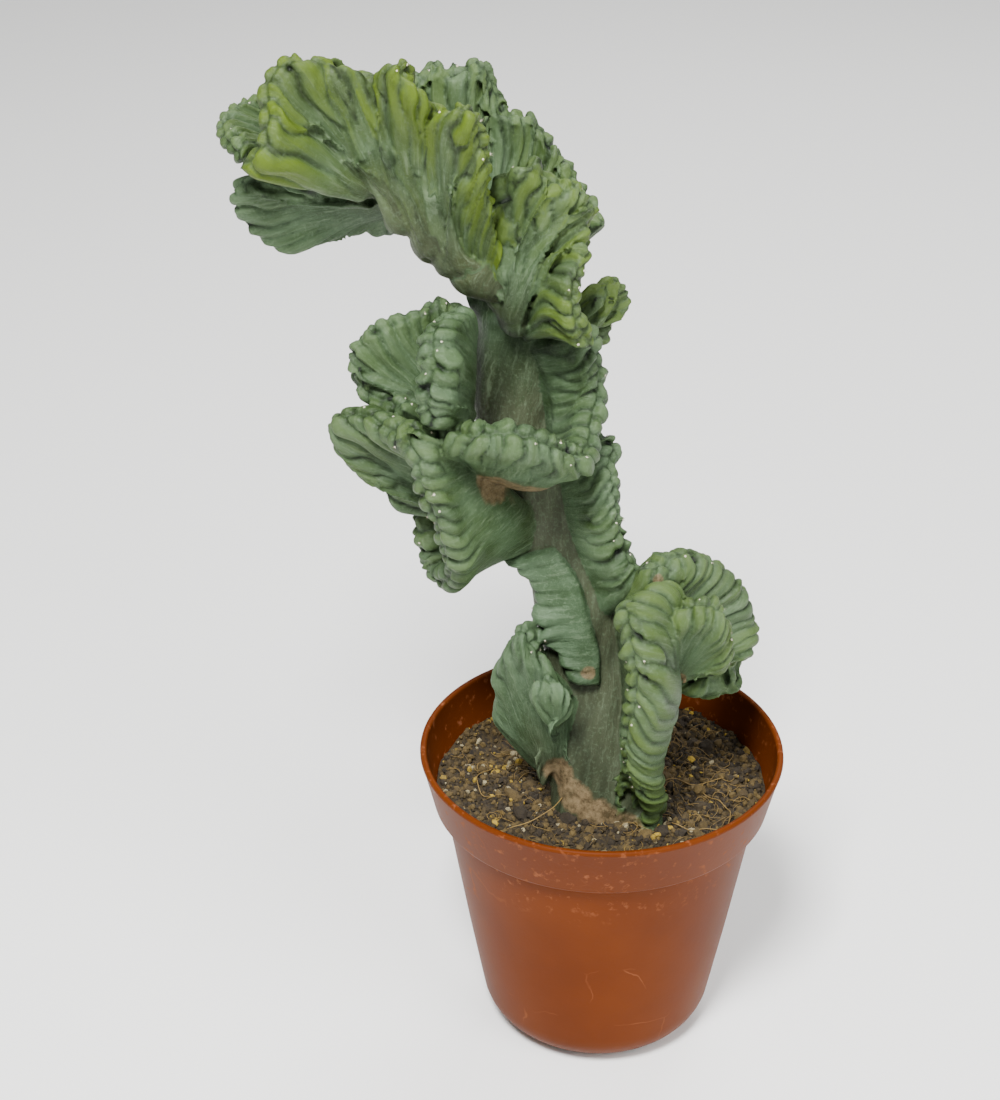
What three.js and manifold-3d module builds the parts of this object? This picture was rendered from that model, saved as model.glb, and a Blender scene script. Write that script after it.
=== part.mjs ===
// Crested blue myrtle cactus (Myrtillocactus geometrizans, cristate form) in its nursery pot.
// Millimetres, +Z up.  The origin is the middle of the pot's flat underside; +X is the
// plant's right-hand side and -Y its front.
import * as THREE from 'three';
import { mergeVertices } from 'three/addons/utils/BufferGeometryUtils.js';
import Module from 'manifold-3d';

const wasm = await Module();
wasm.setup();

// ---- driving dimensions -------------------------------------------------------------
const CLEARANCE = 0.3;

// pot: a thin moulded nursery pot of the 12 cm size
const POT_HEIGHT = 106.6;
const RIM_RADIUS = 60;
const COLLAR_BOTTOM = 88;
const COLLAR_RADIUS = 55.8;
const BODY_TOP_RADIUS = 52;
const BODY_TOP = 86;
const BODY_FOOT_RADIUS = 37.5;
const FOOT_CORNER = 15;
const FOOT_SPREAD = 2;
const POT_WALL = 1.4;
const LIP_RADIUS = 1.1;
const LIP_START = -0.9;
const LIP_TURN = Math.PI + 1.1;
const POT_SECTORS = 48;
const DRAIN_COUNT = 8;
const DRAIN_RADIUS = 3.5;
const DRAIN_CIRCLE = 28.5;
const DRILL_LENGTH = 16;
const DRILL_CENTRE = 3;
const CORNER_TURN = 0.92 * Math.PI / 2;
const CORNER_STEPS = 4;
const LIP_STEPS = 5;

// soil
const SOIL_TOP = 93;
const SOIL_SECTORS = POT_SECTORS;
const SOIL_RINGS = 8;
const SOIL_WALL_GAP = 1.1;
const STONE_COUNT = 34;
const STONE_RADIUS = 1.4;
const STONE_SPREAD = 2.4;
// the hollow behind the plant's left side, its depth and the square of its reach
const HOLLOW = { x: -33, y: 25, depth: 5, reach: 260 };

// the buried foot of the trunk, a plain oval plug
const PLUG = { x: 0, y: -11, halfLong: 18.5, halfShort: 10.5, turn: -0.38, bottom: 70, top: 96 };
const PLUG_SIDES = 24;
const SOIL_CLEAR_TOP = 94.6;
const SOIL_CLEAR_BOTTOM = 40;
const SOIL_CLEAR_RADIUS = 90;

// plant
const RIB_DEPTH = 2.3;
const CROWN_RISE = 1.2;
const AROUND = 8;
const PATCH_RIBS = 6;
const LAP_SHARE = 0.6;
const WELD_PASSES = 3;
const TRUNK_SIDES = 14;
const TRUNK_STEPS = 16;

// trunk: centre x, y, z, half width, half depth
const TRUNK = [
  [0, -11, 84, 15, 9],
  [0, -10, 97, 16, 10],
  [-3, -9, 114, 14, 11],
  [-5, -8, 140, 13, 11],
  [-9, -6, 165, 13, 11],
  [-14, -2, 185, 13, 11],
  [-20, 2, 202, 13, 11],
  [-26, 8, 218, 13, 10],
  [-28, 8, 239, 15, 9],
  [-30, 4, 257, 13, 9],
  [-34, -2, 272, 11, 8],
];

// Each crest is a fleshy sheet.  Its rim is the long winding growing line, its root is where
// it leaves the plant, belly bulges the sheet between the two, half is its half thickness
// at root, middle and rim, and ribs is the number of ribs that run from root to rim.
const CRESTS = {
  topFront: {
    rim: [
      [-33, -8, 282], [-34, -16, 296], [-36, -25, 310], [-37, -31, 323], [-39, -34, 333],
      [-44, -34, 337], [-50, -27, 333], [-52, -22, 333], [-54, -29, 339], [-58, -34, 345],
      [-61, -33, 349], [-65, -25, 344], [-71, -21, 342], [-76, -21, 343], [-79, -26, 346],
      [-83, -23, 345], [-87, -29, 349], [-93, -31, 348], [-97, -33, 343], [-97, -36, 338],
      [-97, -40, 333], [-99, -42, 327], [-104, -38, 320],
    ],
    root: [
      [-30, -4, 266], [-38, -4, 272], [-46, -5, 279], [-52, -6, 285], [-59, -8, 292],
      [-66, -10, 299], [-73, -14, 304],
    ],
    belly: [
      [-3, 0, 0], [-15, 8, -6], [-7, 2, -4], [-9, 8, -10], [-1, -5, -2], [3, 2, -4],
      [3, 2, -4], [-2, 0, 0],
    ],
    half: [5, 4.5, 4.5],
    ribs: 23,
  },
  topRight: {
    rim: [
      [-33, -8, 287], [-31, -10, 299], [-28, -14, 309], [-26, -18, 315], [-22, -17, 312],
      [-19, -15, 310], [-15, -16, 307], [-11, -14, 307], [-7, -12, 303], [-5, -12, 298],
      [-7, -14, 294], [-7, -16, 289], [-8, -20, 285], [-11, -25, 281], [-12, -27, 275],
      [-10, -26, 267], [-6, -20, 259],
    ],
    root: [[-31, -4, 267], [-30, -4, 265], [-29, -4, 262], [-28, -3, 258], [-25, -2, 253]],
    belly: [[1, 0, 2], [-7, 2, 3], [-3, -1, 6], [-2, -5, 15], [3, 1, 17], [-1, -6, 8]],
    half: [5, 4.5, 4.5],
    ribs: 17,
  },
  topRear: {
    rim: [
      [-104, -34, 321], [-109, -28, 323], [-112, -18, 325], [-111, -8, 327], [-106, 0, 328],
      [-94, 10, 327], [-83, 12, 329], [-70, 16, 328], [-57, 20, 330], [-53, 20, 333],
      [-47, 17, 330], [-42, 20, 332], [-38, 23, 332], [-34, 21, 325], [-33, 19, 318],
      [-28, 22, 316], [-23, 26, 314], [-18, 24, 308], [-13, 24, 302], [-10, 20, 297],
      [-5, 16, 290], [-3, 10, 285],
    ],
    root: [
      [-91, -8, 308], [-77, 0, 299], [-63, 4, 288], [-48, 8, 277], [-37, 10, 269],
      [-27, 10, 261], [-21, 10, 258],
    ],
    belly: [[0, 8, 4]],
    half: [5, 3.5, 4.5],
    ribs: 24,
  },
  topUnder: {
    rim: [
      [-93, -4, 302], [-103, -4, 303], [-111, 0, 301], [-112, 3, 294], [-110, 5, 288],
      [-106, 6, 283], [-99, 6, 280], [-91, 6, 282], [-81, 6, 285], [-70, 6, 284],
      [-64, 4, 286],
    ],
    root: [[-69, -8, 304], [-65, -6, 299], [-61, -4, 293]],
    belly: [[0, 2, 0]],
    half: [4, 4, 3.5],
    ribs: 9,
  },
  rearHorn: {
    rim: [
      [-2, 14, 245], [1, 14, 248], [2, 16, 251], [5, 18, 252], [7, 20, 256], [7, 20, 260],
      [4, 18, 265], [1, 14, 266], [-1, 10, 264], [-5, 8, 262],
    ],
    root: [[-15, 8, 249], [-14, 8, 253]],
    belly: [[0, 0, 0]],
    half: [5, 4, 3.5],
    ribs: 9,
  },
  bowl: {
    rim: [
      [-8, -12, 263], [-5, -12, 257], [-3, -10, 249], [-3, -10, 240], [-5, -14, 234],
      [-6, -20, 230], [-9, -30, 230], [-14, -36, 234], [-20, -40, 239], [-26, -42, 242],
      [-33, -42, 243], [-39, -42, 242], [-44, -38, 241], [-47, -33, 239], [-51, -28, 238],
    ],
    root: [
      [-26, 4, 252], [-22, 4, 239], [-19, 2, 227], [-19, 0, 217], [-24, -4, 208],
      [-31, -6, 209], [-37, -6, 213], [-41, -6, 219], [-45, -6, 222],
    ],
    belly: [[0, 0, -2], [0, 0, -7], [0, -2, -6]],
    half: [6.5, 5.5, 6.5],
    ribs: 16,
  },
  leftFan: {
    rim: [
      [-62, -22, 239], [-67, -18, 240], [-73, -14, 241], [-78, -11, 245], [-80, -10, 251],
      [-78, -9, 256], [-74, -8, 260], [-69, -6, 263], [-63, -5, 264], [-57, -4, 266],
      [-52, -2, 268], [-47, -2, 266], [-44, -6, 263],
    ],
    root: [[-45, -10, 224], [-48, -9, 228], [-50, -8, 232], [-49, -6, 235], [-45, -4, 232]],
    belly: [[0, 0, 0]],
    half: [6, 4.5, 4.5],
    ribs: 13,
  },
  leftRoll: {
    rim: [
      [-46, -8, 267], [-50, -18, 269], [-53, -27, 270], [-54, -33, 267], [-53, -36, 263],
      [-54, -38, 258], [-55, -39, 252], [-55, -39, 247], [-52, -37, 241],
    ],
    root: [[-44, -3, 256], [-43, -3, 244], [-44, -5, 233], [-44, -8, 225]],
    belly: [[4, 0, 0]],
    half: [6, 7, 7],
    ribs: 10,
  },
  lowFan: {
    rim: [
      [-60, -6, 202], [-66, -7, 203], [-70, -8, 205], [-75, -8, 210], [-81, -10, 218],
      [-85, -12, 225], [-85, -14, 232], [-81, -17, 236], [-75, -20, 238], [-70, -25, 238],
      [-66, -30, 238], [-62, -36, 238],
    ],
    root: [[-34, -6, 194], [-37, -6, 198], [-42, -8, 208]],
    belly: [[0, 0, 0]],
    half: [6, 5, 5],
    ribs: 11,
  },
  lowRoll: {
    rim: [
      [-58, -31, 241], [-62, -34, 238], [-59, -36, 232], [-58, -37, 225], [-56, -37, 217],
      [-53, -35, 206], [-51, -31, 196], [-50, -25, 186], [-53, -16, 177], [-57, -8, 175],
      [-60, -4, 180], [-61, -2, 188], [-61, 2, 193], [-58, 4, 195],
    ],
    root: [
      [-46, -8, 227], [-43, -9, 218], [-37, -8, 212], [-26, -4, 200], [-21, 0, 187],
      [-23, 2, 178], [-28, 4, 176],
    ],
    belly: [[0, -5, 0], [0, -6, 0], [0, -4, 0], [0, 0, 0]],
    half: [6, 5.5, 6],
    ribs: 15,
  },
  sideCrest: {
    rim: [
      [-7, 4, 220], [-2, 2, 221], [3, -2, 219], [1, -10, 216], [2, -15, 212], [3, -17, 204],
      [5, -17, 195], [7, -17, 188], [10, -18, 184], [11, -19, 179],
    ],
    root: [[-18, 4, 217], [-15, 2, 204], [-11, 0, 187], [0, -6, 159]],
    belly: [[0, -4, 0]],
    half: [6, 6.5, 6],
    ribs: 12,
  },
  rightLobe: {
    rim: [
      [9, -20, 185], [14, -20, 188], [18, -19, 188], [22, -16, 189], [28, -12, 187],
      [34, -8, 182], [41, -4, 174], [45, -1, 165], [48, 0, 154], [48, -4, 147], [45, -9, 143],
      [38, -13, 142], [30, -16, 143],
    ],
    root: [[1, -6, 165], [7, -8, 156], [14, -10, 147], [19, -12, 137]],
    belly: [[0, -8, 0]],
    half: [7, 7, 7],
    ribs: 15,
  },
  frontLobe: {
    rim: [
      [19, -30, 176], [21, -34, 181], [27, -36, 183], [33, -36, 181], [37, -32, 172],
      [39, -28, 161], [35, -25, 154],
    ],
    root: [[19, -16, 145], [22, -17, 141]],
    belly: [[0, -3, 0]],
    half: [6, 6.5, 6.5],
    ribs: 8,
  },
  frontCrest: {
    rim: [
      [16, -24, 179], [9, -34, 185], [3, -42, 186], [3, -46, 181], [4, -48, 174],
      [5, -49, 168], [6, -49, 159], [5, -48, 149], [4, -45, 138], [5, -40, 126], [8, -34, 113],
      [12, -27, 101], [14, -20, 88],
    ],
    root: [[2, -6, 164], [5, -8, 148], [6, -10, 130], [5, -10, 107], [4, -9, 70]],
    belly: [[20, -6, 0], [22, -6, 0], [18, -5, 0], [4, -4, 0]],
    half: [8, 8, 8],
    ribs: 17,
  },
  leftFlange: {
    rim: [
      [-34, 1, 177], [-28, -2, 175], [-24, -5, 171], [-23, -7, 165], [-22, -8, 158],
      [-21, -9, 152], [-17, -11, 150], [-13, -13, 147], [-8, -15, 146],
    ],
    root: [[-17, -6, 185], [-9, -10, 175], [-5, -12, 161], [-2, -13, 151], [-2, -14, 139]],
    belly: [[0, -3, 0]],
    half: [6, 4.5, 4],
    ribs: 12,
  },
  leftArm: {
    rim: [
      [-30, -3, 123], [-32, -6, 132], [-32, -10, 144], [-32, -13, 153], [-30, -16, 160],
      [-27, -18, 163], [-23, -19, 159], [-19, -18, 152], [-17, -15, 142], [-16, -12, 130],
    ],
    root: [[-16, -10, 101], [-14, -10, 101], [-12, -10, 103]],
    belly: [[-3, 0, -4], [0, -2, -2]],
    half: [7, 6, 6],
    ribs: 9,
  },
  armBud: {
    rim: [
      [-23, -24, 145], [-22, -27, 150], [-19, -29, 152], [-15, -28, 149], [-13, -24, 139],
    ],
    root: [[-17, -16, 123], [-14, -16, 124]],
    belly: [[0, -5, 0]],
    half: [5, 5.5, 5.5],
    ribs: 5,
  },
};

// ---- small helpers ------------------------------------------------------------------
let seed = 20;

function random() {
  seed = (seed * 16807) % 2147483647;
  return seed / 2147483647;
}

function smoothstep(low, high, value) {
  const t = Math.min(1, Math.max(0, (value - low) / (high - low)));
  return t * t * (3 - 2 * t);
}

function vector(point) {
  return new THREE.Vector3(point[0], point[1], point[2]);
}

// a smooth curve through the points, read at t from 0 to 1
function through(points) {
  if (points.length === 1) {
    return () => vector(points[0]);
  }
  const curve = new THREE.CatmullRomCurve3(points.map(vector), false, 'catmullrom', 0.5);
  return (t) => curve.getPoint(t);
}

function meshOf(positions, triangles) {
  const geometry = new THREE.BufferGeometry();
  geometry.setAttribute('position', new THREE.Float32BufferAttribute(positions, 3));
  geometry.setIndex(triangles);
  return geometry;
}

function solidOf(geometry, tolerance = 1e-4) {
  const plain = geometry.clone();
  plain.deleteAttribute('normal');
  plain.deleteAttribute('uv');
  const merged = mergeVertices(plain, tolerance);
  return new wasm.Manifold(new wasm.Mesh({
    numProp: 3,
    vertProperties: new Float32Array(merged.attributes.position.array),
    triVerts: new Uint32Array(merged.index.array),
  }));
}

function geometryOf(solid) {
  const mesh = solid.getMesh();
  const positions = [];
  for (let i = 0; i < mesh.vertProperties.length; i += mesh.numProp) {
    positions.push(mesh.vertProperties[i], mesh.vertProperties[i + 1], mesh.vertProperties[i + 2]);
  }
  return meshOf(positions, Array.from(mesh.triVerts));
}

function signedVolume(positions, triangles) {
  const a = new THREE.Vector3();
  const b = new THREE.Vector3();
  const c = new THREE.Vector3();
  let total = 0;
  for (let i = 0; i < triangles.length; i += 3) {
    a.fromArray(positions, 3 * triangles[i]);
    b.fromArray(positions, 3 * triangles[i + 1]);
    c.fromArray(positions, 3 * triangles[i + 2]);
    total += a.dot(b.cross(c)) / 6;
  }
  return total;
}

// A closed skin over rings of points, each ring with the same even number of points.
// Point 0 and the middle point of a ring are its two narrow ends.
function skinOf(rings) {
  const around = rings[0].length;
  const positions = rings.flat().flatMap((p) => [p.x, p.y, p.z]);
  const triangles = [];
  for (let i = 0; i + 1 < rings.length; i += 1) {
    for (let k = 0; k < around; k += 1) {
      const a = i * around + k;
      const b = i * around + (k + 1) % around;
      const c = a + around;
      const d = b + around;
      if ((i + k) % 2 === 0) {
        triangles.push(a, c, b, b, c, d);
      } else {
        triangles.push(a, c, d, a, d, b);
      }
    }
  }
  const last = (rings.length - 1) * around;
  for (let k = 0; k < around / 2; k += 1) {
    const across = (around - k) % around;
    const acrossNext = around - k - 1;
    if (k > 0) {
      triangles.push(k, k + 1, across);
      triangles.push(last + k, last + across, last + k + 1);
    }
    if (k + 1 < around / 2) {
      triangles.push(k + 1, acrossNext, across);
      triangles.push(last + k + 1, last + across, last + acrossNext);
    }
  }
  if (signedVolume(positions, triangles) < 0) {
    for (let i = 0; i < triangles.length; i += 3) {
      [triangles[i + 1], triangles[i + 2]] = [triangles[i + 2], triangles[i + 1]];
    }
  }
  return solidOf(meshOf(positions, triangles));
}

// Folded crests can shut in a hollow where they press together.  Only the largest body is
// kept, which fills the hollow and drops any crumb left by the joining.  Each later pass
// clears what the welding of the one before parts from it.
function filled(solid) {
  let whole = solid;
  for (let pass = 0; pass < WELD_PASSES; pass += 1) {
    const bodies = solidOf(geometryOf(whole).toNonIndexed(), 1e-3).decompose();
    whole = bodies.reduce((most, body) => (body.volume() > most.volume() ? body : most));
  }
  return whole;
}

// ---- plant --------------------------------------------------------------------------
function crestRings(crest) {
  const rimAt = through(crest.rim);
  const rootAt = through(crest.root);
  const bellyAt = through(crest.belly);
  const columns = 2 * crest.ribs;

  function middle(u, v) {
    const rim = rimAt(u);
    const root = rootAt(u);
    const bulge = rim.clone().add(root).multiplyScalar(0.5).add(bellyAt(u));
    const point = root.clone().multiplyScalar((1 - v) * (1 - v));
    point.addScaledVector(bulge, 2 * v * (1 - v));
    point.addScaledVector(rim, v * v);
    return point;
  }

  // every other ring stands on a rib's crown, and the ones between lie in the furrows
  const rings = [];
  for (let i = 0; i <= columns; i += 1) {
    const u = i / columns;
    const furrow = i % 2 === 1 ? 0 : 1;
    const fromEnd = Math.min(1, Math.min(u, 1 - u) * crest.ribs);
    const taper = 0.45 + 0.55 * Math.sqrt(1 - (1 - fromEnd) * (1 - fromEnd));
    const ring = [];
    for (let k = 0; k < AROUND; k += 1) {
      const angle = 2 * Math.PI * k / AROUND;
      const v = (1 - Math.cos(angle)) / 2;
      const side = Math.sign(Math.round(1e6 * Math.sin(angle))) * Math.sqrt(Math.abs(Math.sin(angle)));
      const point = middle(u, v);
      const step = 0.01;
      const u0 = Math.max(0, u - step);
      const u1 = Math.min(1, u + step);
      const spread = Math.min(0.99, Math.max(v, 0.35));
      const along = middle(u1, spread).sub(middle(u0, spread));
      const outward = middle(u, Math.min(1, v + step)).sub(middle(u, Math.max(0, v - step))).normalize();
      const normal = along.cross(outward).normalize();
      const [atRoot, atMiddle, atRim] = crest.half;
      const half = atRoot * (1 - v) * (1 - v) + 2 * atMiddle * v * (1 - v) + atRim * v * v;
      const relief = RIB_DEPTH * smoothstep(0.05, 0.6, v);
      point.addScaledVector(normal, side * taper * (half - relief * furrow));
      const rise = CROWN_RISE * (1 - furrow) - relief * furrow;
      point.addScaledVector(outward, rise * smoothstep(0.6, 1, v));
      ring.push(point);
    }
    rings.push(ring);
  }
  return rings;
}

// a ring drawn in towards its own middle
function shrunk(ring, share) {
  const middle = new THREE.Vector3();
  for (const point of ring) {
    middle.addScaledVector(point, 1 / ring.length);
  }
  return ring.map((point) => middle.clone().lerp(point, share));
}

// A crest is skinned in short lengths, so that a tight curl meets itself cleanly.  Each length
// runs on a little, drawn in, inside the next one.
function crestSolid(crest) {
  const rings = crestRings(crest);
  const lengths = Math.max(1, Math.round(crest.ribs / PATCH_RIBS));
  let solid = null;
  for (let i = 0; i < lengths; i += 1) {
    const first = 2 * Math.round(i * crest.ribs / lengths);
    const last = 2 * Math.round((i + 1) * crest.ribs / lengths);
    const skinned = rings.slice(first, last + 1);
    if (first > 0) {
      skinned.unshift(shrunk(rings[first - 1], LAP_SHARE));
    }
    if (last < rings.length - 1) {
      skinned.push(shrunk(rings[last + 1], LAP_SHARE));
    }
    const length = skinOf(skinned);
    solid = solid ? solid.add(length) : length;
  }
  return solid;
}

function trunkSolid() {
  const centreAt = through(TRUNK);
  const sizeAt = through(TRUNK.map(([, , , width, depth]) => [width, depth, 0]));
  const rings = [];
  for (let i = 0; i <= TRUNK_STEPS; i += 1) {
    const centre = centreAt(i / TRUNK_STEPS);
    const size = sizeAt(i / TRUNK_STEPS);
    const ring = [];
    for (let k = 0; k < TRUNK_SIDES; k += 1) {
      const angle = 2 * Math.PI * (k + 0.5 * (i % 2)) / TRUNK_SIDES;
      ring.push(new THREE.Vector3(
        centre.x + size.x * Math.cos(angle),
        centre.y + size.y * Math.sin(angle),
        centre.z,
      ));
    }
    rings.push(ring);
  }
  return skinOf(rings);
}

// an upright oval prism round the plug, widened by extra
function plugPrism(extra, bottom, top) {
  const rings = [bottom, top].map((z) => {
    const ring = [];
    for (let k = 0; k < PLUG_SIDES; k += 1) {
      const angle = 2 * Math.PI * k / PLUG_SIDES;
      const long = (PLUG.halfLong + extra) * Math.cos(angle);
      const short = (PLUG.halfShort + extra) * Math.sin(angle);
      ring.push(new THREE.Vector3(
        PLUG.x + long * Math.cos(PLUG.turn) - short * Math.sin(PLUG.turn),
        PLUG.y + long * Math.sin(PLUG.turn) + short * Math.cos(PLUG.turn),
        z,
      ));
    }
    return ring;
  });
  return skinOf(rings);
}

function plantSolid() {
  let plant = trunkSolid();
  for (const crest of Object.values(CRESTS)) {
    plant = plant.add(crestSolid(crest));
  }
  // under the soil line only the plain plug is left
  const depth = SOIL_CLEAR_TOP - SOIL_CLEAR_BOTTOM;
  const slab = new THREE.CylinderGeometry(SOIL_CLEAR_RADIUS, SOIL_CLEAR_RADIUS, depth, PLUG_SIDES);
  slab.rotateX(Math.PI / 2);
  slab.translate(0, 0, SOIL_CLEAR_BOTTOM + depth / 2);
  plant = plant.subtract(solidOf(slab));
  return filled(plant.add(plugPrism(0, PLUG.bottom, PLUG.top)));
}

// ---- pot ----------------------------------------------------------------------------
function bodyRadius(z) {
  return BODY_FOOT_RADIUS + (BODY_TOP_RADIUS - BODY_FOOT_RADIUS) * z / BODY_TOP;
}

// outline of the outside, from the underside's middle to the lip; inset moves it inwards
function potOutline(inset) {
  const points = [];
  const corner = FOOT_CORNER - inset;
  const centreRadius = BODY_FOOT_RADIUS + FOOT_SPREAD - FOOT_CORNER;
  for (let i = 0; i <= CORNER_STEPS; i += 1) {
    const angle = CORNER_TURN * i / CORNER_STEPS;
    points.push(new THREE.Vector2(
      centreRadius + corner * Math.sin(angle),
      FOOT_CORNER - corner * Math.cos(angle),
    ));
  }
  points.push(new THREE.Vector2(bodyRadius(40) - inset, 40));
  points.push(new THREE.Vector2(bodyRadius(BODY_TOP) - inset, BODY_TOP));
  points.push(new THREE.Vector2(COLLAR_RADIUS - inset, COLLAR_BOTTOM + 0.4));
  return points;
}

function potSolid() {
  const outside = potOutline(0);
  const inside = potOutline(POT_WALL);
  const lip = [];
  const lipHeight = POT_HEIGHT - LIP_RADIUS;
  for (let i = 0; i <= LIP_STEPS; i += 1) {
    const angle = LIP_START + LIP_TURN * i / LIP_STEPS;
    lip.push(new THREE.Vector2(
      RIM_RADIUS - LIP_RADIUS + LIP_RADIUS * Math.cos(angle),
      lipHeight + LIP_RADIUS * Math.sin(angle),
    ));
  }
  const profile = [
    new THREE.Vector2(0, 0),
    ...outside,
    ...lip,
    ...inside.reverse(),
    new THREE.Vector2(0, POT_WALL),
  ];
  const turned = new THREE.LatheGeometry(profile, POT_SECTORS);
  turned.rotateX(Math.PI / 2);
  let pot = solidOf(turned);
  for (let i = 0; i < DRAIN_COUNT; i += 1) {
    const angle = 2 * Math.PI * (i + 0.5) / DRAIN_COUNT;
    const drill = new THREE.CylinderGeometry(DRAIN_RADIUS, DRAIN_RADIUS, DRILL_LENGTH, 10);
    drill.rotateX(Math.PI / 2);
    drill.translate(
      DRAIN_CIRCLE * Math.cos(angle),
      DRAIN_CIRCLE * Math.sin(angle),
      DRILL_CENTRE,
    );
    pot = pot.subtract(solidOf(drill));
  }
  return pot;
}

// ---- soil ---------------------------------------------------------------------------
function fromPlug(x, y) {
  const dx = x - PLUG.x;
  const dy = y - PLUG.y;
  const long = dx * Math.cos(PLUG.turn) + dy * Math.sin(PLUG.turn);
  const short = dy * Math.cos(PLUG.turn) - dx * Math.sin(PLUG.turn);
  const level = Math.hypot(long / PLUG.halfLong, short / PLUG.halfShort);
  return (level - 1) * PLUG.halfShort;
}

function soilHeight(x, y) {
  const rough = 0.9 * Math.sin(0.31 * x + 1.3) * Math.cos(0.27 * y) + 0.7 * Math.sin(0.53 * y - 0.4 * x);
  const hollowAt = (x - HOLLOW.x) * (x - HOLLOW.x) + (y - HOLLOW.y) * (y - HOLLOW.y);
  const hollow = -HOLLOW.depth * Math.exp(-hollowAt / HOLLOW.reach);
  const away = smoothstep(2, 12, fromPlug(x, y));
  const fromWall = 1 - smoothstep(44, 53, Math.hypot(x, y));
  return SOIL_TOP + away * (rough + fromWall * hollow);
}

function soilSolid() {
  const inset = POT_WALL + CLEARANCE;
  const wall = potOutline(inset).filter((p) => p.y < SOIL_TOP - 4);
  const topRadius = COLLAR_RADIUS - SOIL_WALL_GAP;
  const profile = [
    new THREE.Vector2(0, inset),
    ...wall,
    new THREE.Vector2(topRadius, SOIL_TOP - 1),
  ];
  for (let i = 1; i < SOIL_RINGS; i += 1) {
    profile.push(new THREE.Vector2(topRadius * (1 - i / SOIL_RINGS), SOIL_TOP));
  }
  profile.push(new THREE.Vector2(0, SOIL_TOP));
  const turned = new THREE.LatheGeometry(profile, SOIL_SECTORS);
  turned.rotateX(Math.PI / 2);
  const position = turned.attributes.position;
  for (let i = 0; i < position.count; i += 1) {
    if (position.getZ(i) > SOIL_TOP - 1.5) {
      const x = position.getX(i);
      const y = position.getY(i);
      position.setZ(i, soilHeight(x, y) - 0.6 * smoothstep(0.9, 1, Math.hypot(x, y) / topRadius));
    }
  }
  let soil = solidOf(turned);
  let placed = 0;
  while (placed < STONE_COUNT) {
    const angle = 2 * Math.PI * random();
    const size = STONE_RADIUS + STONE_SPREAD * random() * random();
    const distance = (topRadius - size - 1.2) * Math.sqrt(random());
    const x = distance * Math.cos(angle);
    const y = distance * Math.sin(angle);
    if (fromPlug(x, y) < size + 1.5) {
      continue;
    }
    const stone = new THREE.IcosahedronGeometry(size, 0);
    stone.scale(1, 0.8 + 0.3 * random(), 0.7);
    stone.rotateZ(6 * random());
    stone.translate(x, y, soilHeight(x, y) - 0.3 * size);
    soil = soil.add(solidOf(stone));
    placed += 1;
  }
  return soil.subtract(plugPrism(CLEARANCE, PLUG.bottom - CLEARANCE, SOIL_TOP + 20));
}

// ---- assembly -----------------------------------------------------------------------
const root = new THREE.Group();
root.name = 'crested_myrtle_cactus';

function addPiece(name, solid, color, roughness) {
  const material = new THREE.MeshStandardMaterial({ color, roughness, metalness: 0 });
  const mesh = new THREE.Mesh(geometryOf(solid), material);
  mesh.name = name;
  root.add(mesh);
}

addPiece('pot', potSolid(), 0xa5613a, 0.5);
addPiece('soil', soilSolid(), 0x6a5a3c, 0.95);
addPiece('crested_stem', plantSolid(), 0x75916f, 0.65);

export default root;
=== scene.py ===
"""Crested blue myrtle cactus (Myrtillocactus geometrizans, cristate form) in its nursery pot.

Laid out as an add-on: one operator makes each piece or group of like pieces, and the sidebar
panel lists them.  Lengths in the code are millimetres and objects are in metres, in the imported
model's own frame: the origin is the middle of the pot's flat underside, +Z is up, +X is the
plant's right-hand side and -Y its front.
"""

import math

import bpy
import numpy as np
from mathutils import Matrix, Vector, bvhtree, kdtree


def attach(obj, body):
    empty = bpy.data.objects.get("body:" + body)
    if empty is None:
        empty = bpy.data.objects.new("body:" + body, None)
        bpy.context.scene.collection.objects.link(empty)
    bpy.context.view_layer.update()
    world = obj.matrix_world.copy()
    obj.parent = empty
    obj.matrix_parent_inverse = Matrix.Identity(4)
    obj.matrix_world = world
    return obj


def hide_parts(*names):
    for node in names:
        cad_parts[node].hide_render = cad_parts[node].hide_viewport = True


bl_info = {
    "name": "Crested myrtle cactus in a pot",
    "version": (1, 0, 0),
    "blender": (4, 5, 0),
    "location": "View3D > Sidebar > Cactus",
    "description": "Makes a crested cactus, its gritty soil and its pot round the packed frame",
    "category": "Object",
}

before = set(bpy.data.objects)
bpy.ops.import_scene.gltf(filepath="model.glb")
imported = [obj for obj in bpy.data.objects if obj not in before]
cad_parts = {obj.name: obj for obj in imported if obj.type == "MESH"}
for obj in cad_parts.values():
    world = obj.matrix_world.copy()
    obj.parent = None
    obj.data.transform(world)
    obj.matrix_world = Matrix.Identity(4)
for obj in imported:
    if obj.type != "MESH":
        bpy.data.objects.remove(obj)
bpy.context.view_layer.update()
MM = 0.001

# ---- pot and soil: sizes in millimetres --------------------------------------------------
POT_HEIGHT = 106.6
RIM_RADIUS = 60.0
COLLAR_BOTTOM = 88.0
COLLAR_RADIUS = 55.8
BODY_TOP = 86.0
BODY_TOP_RADIUS = 52.0
BODY_FOOT_RADIUS = 37.5
FOOT_CORNER = 15.0
POT_WALL = 1.4
LIP_RADIUS = 1.1
POT_SECTORS = 192
DRAIN_COUNT = 8
DRAIN_RADIUS = 3.5
DRAIN_CIRCLE = 28.5
SOIL_TOP = 93.0
SOIL_RADIUS = COLLAR_RADIUS - 1.1
# how far the soil's crumb lies under the soil's height
CRUMB_DEPTH = 0.7
# a hollow in the soil and the bare peat in it: middle x, y and the square of the width
HOLLOW = (-33.0, 25.0, 260.0)
HOLLOW_DEPTH = 5.0
PEAT = (-33.0, 22.0, 330.0)
STRAND_COUNT = 230
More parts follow.
